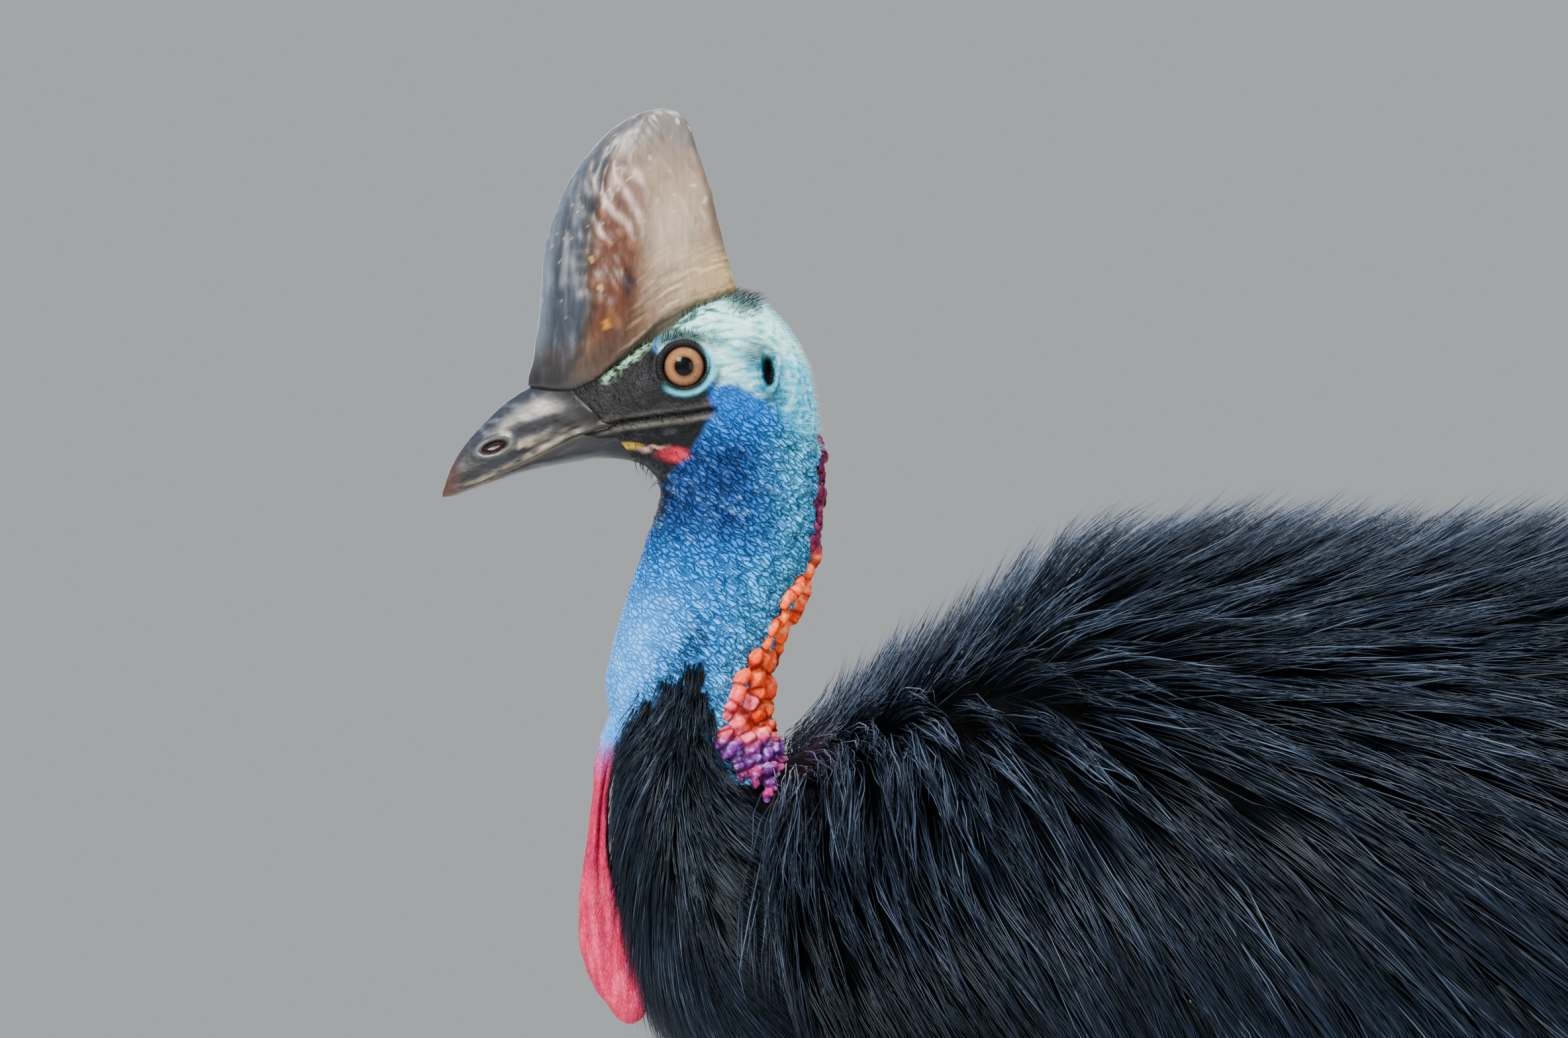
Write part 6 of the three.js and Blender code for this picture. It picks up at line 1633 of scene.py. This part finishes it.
def make_torso_coat(thin):
    chance = np.random.default_rng(29)

    def rings_at(x):
        return torso_rings(np.array([x]), 120, TORSO_COAT_DEPTH)[0]

    roots = spread_over(rings_at, evenly_along(core_places(0.05, 300), rings_at, 17.0), 18.0, chance)
    roots[:, 0] += chance.uniform(-5, 5, len(roots))
    roots = roots[(roots[:, 0] > CORE_FRONT + 3) & (roots[:, 0] < CORE_BACK - 3)]
    in_neck = (neck_measure(roots)[0] < 0.95) & (roots[:, 0] < -330) & (roots[:, 2] > 640)
    beside_folds = (roots[:, 0] < -380) & (roots[:, 2] > 812)
    roots = roots[~in_neck & ~beside_folds]
    extra = np.tile(roots[(roots[:, 0] < -315) & (under_back(roots[:, 0], roots[:, 2]) < 75)], (2, 1))
    roots = np.concatenate([roots, extra + chance.uniform(-7, 7, extra.shape)])
    x, _, z = roots.T
    under = under_back(x, z)
    length = lerp(84, 165, smoothstep(under, 25, 210)) + 40 * smoothstep(x, 60, 380)
    mantle = fall(x, -250, -200) * smoothstep(z, 770, 815)
    length *= chance.uniform(0.8, 1.18, len(roots)) * (1 - 0.2 * mantle)
    length = np.minimum(length, np.maximum(1.3 * (z - 470), 0.6 * length))
    guides = trace(carrier(torso_measure), roots, length, torso_lie)
    # The mantle stands out over a hollow behind the neck, and its front edge is a full ruff
    hollow = near(roots, -348, 722, 85, 55, 0.7)
    ruff = fall(x, -355, -315) * fall(under, 45, 95)
    crest = fall(under, 36, 70)
    fullness = TORSO_COAT_DEPTH * (1 + 0.3 * mantle * (1 - crest) - 0.4 * hollow) + 7 * ruff
    base = np.where(ruff > 0.3, 0.3, np.where(mantle > 0.5, 0.2, -0.3))
    owner = np.repeat(np.arange(len(roots)), 5 if thin else 17)
    hackle = 4 + (5 + 9 * smoothstep(x, -300, -200)) * crest * chance.uniform(0.2, 1, len(roots))
    strands = strand_points(guides, owner, chance, fullness[owner], 12.5, 1.4 if thin else 0.56, (0.6, 1.0),
                            2.6,
                            hackle[owner], base[owner], gather=0.74)
    place = strands[0]
    hem = 468 + 14 * noise_at(place[:, -1], 45, 133) + chance.uniform(0, 16, len(place))
    place[:, -1, 2] = np.maximum(place[:, -1, 2], hem)
    # Tone differs at random; painted shadow darkens the hollow under the mantle, painted light brightens the
    # mantle and the crest, and a few strands get a painted highlight
    tone = chance.normal(0.51, 0.1, len(roots)) + 0.1 * noise_at(roots, 60, 131)
    tone = (tone - 0.4 * hollow + 0.1 * mantle + 0.12 * crest)[owner]
    tone = tone + 0.15 * chance.normal(0, 1, len(owner)) + 0.06 * chance.standard_gamma(1.0, len(owner))
    x, y, z = place[:, 0].T
    patch = patches(y, z - 740, 0.95 * (x - CORE_FRONT) / (CORE_BACK - CORE_FRONT))
    return write_coat("coat_torso", strands, np.clip(tone, 0, 1), patch, x, 2, ("torso",), ("tail",))


def make_neck_coat(thin):
    chance = np.random.default_rng(5)

    def rings_at(z):
        return level_rings(neck_curve, [z], 80, NECK_POWER, neck_coat_depth(np.array([z])))[0]

    roots = spread_over(rings_at, np.concatenate([np.arange(706, 880, 6.5), np.arange(880, 940, 4.2)]), 7.0,
                        chance)
    roots[:, 2] += chance.uniform(-3, 3, len(roots))
    x, y, z = roots.T
    ragged = chance.normal(-2, 1, len(roots)) * (1 + 5 * smoothstep(x, -474, -455))
    keep = (z < neck_plumage_top(x) + ragged) & (torso_measure(roots)[0] > 0.93)
    keep &= ~((x < -470) & (np.abs(y) < 13) & (z > 800))
    roots = roots[keep]
    x, _, z = roots.T
    length = lerp(92.0, 26.0, smoothstep(z, 780, 915)) * chance.uniform(0.85, 1.15, len(roots))
    guides = trace(carrier(neck_measure), roots, length, neck_lie, hangs=False)
    owner = np.repeat(np.arange(len(roots)), 4 if thin else 11)
    fullness = np.minimum(neck_coat_depth(z - 36), NECK_COAT_DEPTH) + 2.5
    fullness = fullness + 14 * fall(x, -480, -445) * fall(z, 800, 860)
    strands = strand_points(guides, owner, chance, fullness[owner], 6.5, 1.0 if thin else 0.34, (0.7, 1.0),
                            1.4, 3.0,
                            gather=0.3)
    tone = (chance.normal(0.44, 0.13, len(roots)) + 0.15 * noise_at(roots, 40, 137))[owner]
    # A few strands get a painted highlight
    tone = tone + chance.normal(0, 0.17, len(owner)) + 0.06 * chance.standard_gamma(1.0, len(owner))
    x, y, z = strands[0][:, 0].T
    patch = patches(y, x + 420, (z - 700) / 240)
    return write_coat("coat_neck", strands, np.clip(tone, 0, 1), patch, z, 1, ("neck_lower",))


def make_thigh_coats(thin):
    total = 0
    for side, sign in SIDES:
        chance = np.random.default_rng(17 + sign)
        measure, down = thigh_measure(sign)
        _, hock, knee = leg_places(sign)
        reach = np.linalg.norm(hock - knee)

        def rings_at(t):
            return thigh_rings(sign, np.array([t - 0.01, t, t + 0.01]), THIGH_COAT_DEPTH * (1 - t), 64)[1]

        roots = spread_over(rings_at, np.arange(0.2, 0.84, 13.0 / reach), 13.0, chance)
        share = ((roots - knee) @ down) / reach
        length = 92 * chance.uniform(0.8, 1.1, len(roots)) * (1 - 0.45 * smoothstep(share, 0.6, 0.84))
        guides = trace(carrier(measure), roots, length, lambda p, _: np.broadcast_to(down, p.shape),
                       hangs=False)
        owner = np.repeat(np.arange(len(roots)), 4 if thin else 6)
        strands = strand_points(guides, owner, chance, THIGH_COAT_DEPTH, 9.0, 0.9, (0.7, 1.0), 2.0, 3.0)
        tone = chance.normal(0.45, 0.12, len(roots))[owner] + chance.normal(0, 0.15, len(owner))
        place, out, width, along = strands
        local = place[:, 0] - knee
        patch = patches(local[:, 1], local[:, 0], (local @ down) / reach)
        piece = write_strands(f"coat_thigh_{side}", place, out, width, np.clip(tone, 0, 1), along, patch)
        hand_over(piece, FEATHER, "plumage", f"thigh_{side}")
        total += len(owner)
    return total


# The wings: bare quills that hang back along the flank

WING = dict(x=-150, z=716, length=92, drop=46, thick=17)
QUILL_COUNT, QUILL_LENGTH, QUILL_RADIUS = 5, 250.0, 2.6


def flank(x, z, raised):
    """How far from the middle the tips of the plumage are, and a little more."""
    top, bottom, half, widest = torso_section(x, 0.0)
    reach = np.where(z > widest, top - widest, widest - bottom)
    share = np.minimum(np.abs(z - widest) / reach, 0.995)
    return (half + raised) * (1 - share ** TORSO_POWER) ** (1 / TORSO_POWER)


def quill_lines(side, sign):
    """The middle lines of a wing's quills, a curve in metres."""
    lines = bpy.data.curves.new(f"quill lines {side}", "CURVE")
    lines.dimensions = "3D"
    t = np.linspace(0, 1, 24)
    for q in range(QUILL_COUNT):
        share = q / (QUILL_COUNT - 1)
        length = QUILL_LENGTH * (0.72 + 0.28 * math.sin(math.pi * (0.2 + 0.6 * share)))
        x = WING["x"] + 40 + 46 * share + length * t * (0.74 + 0.2 * share)
        z = WING["z"] - 24 - 18 * share - length * t * (0.62 - 0.34 * share) - 14 * share * t * t
        y = sign * flank(x, z, lerp(-34, -3 + 1.5 * q, smoothstep(t, 0, 0.75)))
        spline = lines.splines.new("POLY")
        spline.points.add(len(t) - 1)
        placed = np.pad(to_metres(xyz(x, y, z)), ((0, 0), (0, 1)), constant_values=1)
        spline.points.foreach_set("co", placed.ravel())
    return lines


def make_wings():
    """A short finger of wing at each flank, and tubes that taper along the lines of its quills."""
    for side, sign in SIDES:
        tree, sockets, given = geometry_tree(f"quills {side}", "Root radius")
        along = add(tree, "GeometryNodeSplineParameter")
        taper = add(tree, "ShaderNodeMapRange", {"Value": along, "To Min": 1.0, "To Max": 0.25})
        sized = add(tree, "ShaderNodeMath", {0: taper, 1: given["Root radius"]}, operation="MULTIPLY")
        outline = add(tree, "GeometryNodeCurvePrimitiveCircle", {"Resolution": 12, "Radius": 1.0})
        tube = add(tree, "GeometryNodeCurveToMesh",
                   {"Curve": given["Geometry"], "Scale": sized, "Profile Curve": outline,
                                                     "Fill Caps": True})
        real = add(tree, "GeometryNodeRealizeInstances", {"Geometry": tube})
        source = new_object(f"quills_{side}_lines", quill_lines(side, sign))
        hang_tree(source, tree, sockets, real, QUILL_HORN, **{"Root radius": QUILL_RADIUS * METRE})
        quills = new_object(f"quills_{side}", applied(source))
        bpy.data.objects.remove(source)
        t = np.linspace(0, 1, 20)
        x, z = WING["x"] + WING["length"] * t, WING["z"] - WING["drop"] * t
        size = WING["thick"] * (1 - 0.4 * t) * np.sin(math.pi * np.clip(0.08 + t * 0.84, 0, 1)) ** 0.35
        arm = loft(f"wing_finger_{side}",
                   limb_rings(xyz(x, sign * flank(x, z, -37), z), size, size * 0.7, 28))
        hand_over(quills, QUILL_HORN, "quill", f"wing_{side}")
        hand_over(arm, QUILL_HORN, "quill")


# The studio

def aim(item, at, target):
    item.location = at
    item.rotation_euler = (Vector(target) - Vector(at)).to_track_quat("-Z", "Y").to_euler()


def area_light(name, at, size, watts, colour):
    """A soft square light that faces the middle of the bird."""
    light = bpy.data.lights.new(name, "AREA")
    light.size = size
    light.energy = watts
    light.color = linear(colour)
    aim(new_object(name, light), at, (-0.35, 0.0, 0.95))


def make_studio():
    """A plain pale floor, soft light and a camera square to the bird's left side."""
    camera_data = bpy.data.cameras.new("camera")
    camera_data.sensor_width = SENSOR
    camera_data.lens = SENSOR * CAMERA_DISTANCE / (PHOTO_WIDTH * PHOTO_MM)
    camera_data.clip_end = 60
    camera = new_object("camera", camera_data)
    centre = to_metres((VIEW_CENTRE_X, 0, VIEW_CENTRE_Z))
    aim(camera, centre - (0, CAMERA_DISTANCE * METRE, 0), centre)
    bpy.context.scene.camera = camera
    turn = circle(FLOOR_SIDES)
    rim = xyz(FLOOR_RADIUS * np.cos(turn), FLOOR_RADIUS * np.sin(turn), 0)
    index = np.arange(FLOOR_SIDES)
    fan = np.stack([index, np.roll(index, -1), np.full(FLOOR_SIDES, FLOOR_SIDES)], axis=-1)
    mesh = bpy.data.meshes.new("studio_floor")
    mesh.from_pydata((np.vstack([rim, np.zeros(3)]) * METRE).tolist(), [], fan.tolist())
    floor = new_object("studio_floor", mesh)
    floor.data.materials.append(plain_material("pale studio floor paint", "#d9d9d6", "#d2d2cf", 400.0, 0.85,
                                               0.05))
    world = bpy.data.worlds.new("soft daylight")
    world.use_nodes = True
    feed(world.node_tree.nodes["Background"], {"Color": "#d6dbdf", "Strength": 0.64})
    bpy.context.scene.world = world
    area_light("key", (-2.2, -3.0, 3.6), 1.5, 410, "#fffaf3")
    area_light("fill", (2.8, -3.6, 1.4), 3.0, 120, "#eef3ff")
    area_light("top", (0.6, 0.8, 4.2), 2.2, 250, "#eaf2ff")
    area_light("far side", (-1.0, 3.8, 2.2), 2.6, 110, "#f2f5ff")


make_studio()
make_head()
make_bill()
make_casque()
make_eyes()
make_nape()
make_wattles()
make_body()
for leg_side, leg_sign in SIDES:
    make_leg(leg_side, leg_sign)
make_wings()
strand_count = make_torso_coat(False) + make_neck_coat(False) + make_thigh_coats(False)
coat = [piece.data for piece in bpy.data.objects if piece.name.startswith("coat_")]
print("strands in the coat:", strand_count, "triangles:",
      sum(len(m.loops) - 2 * len(m.polygons) for m in coat))
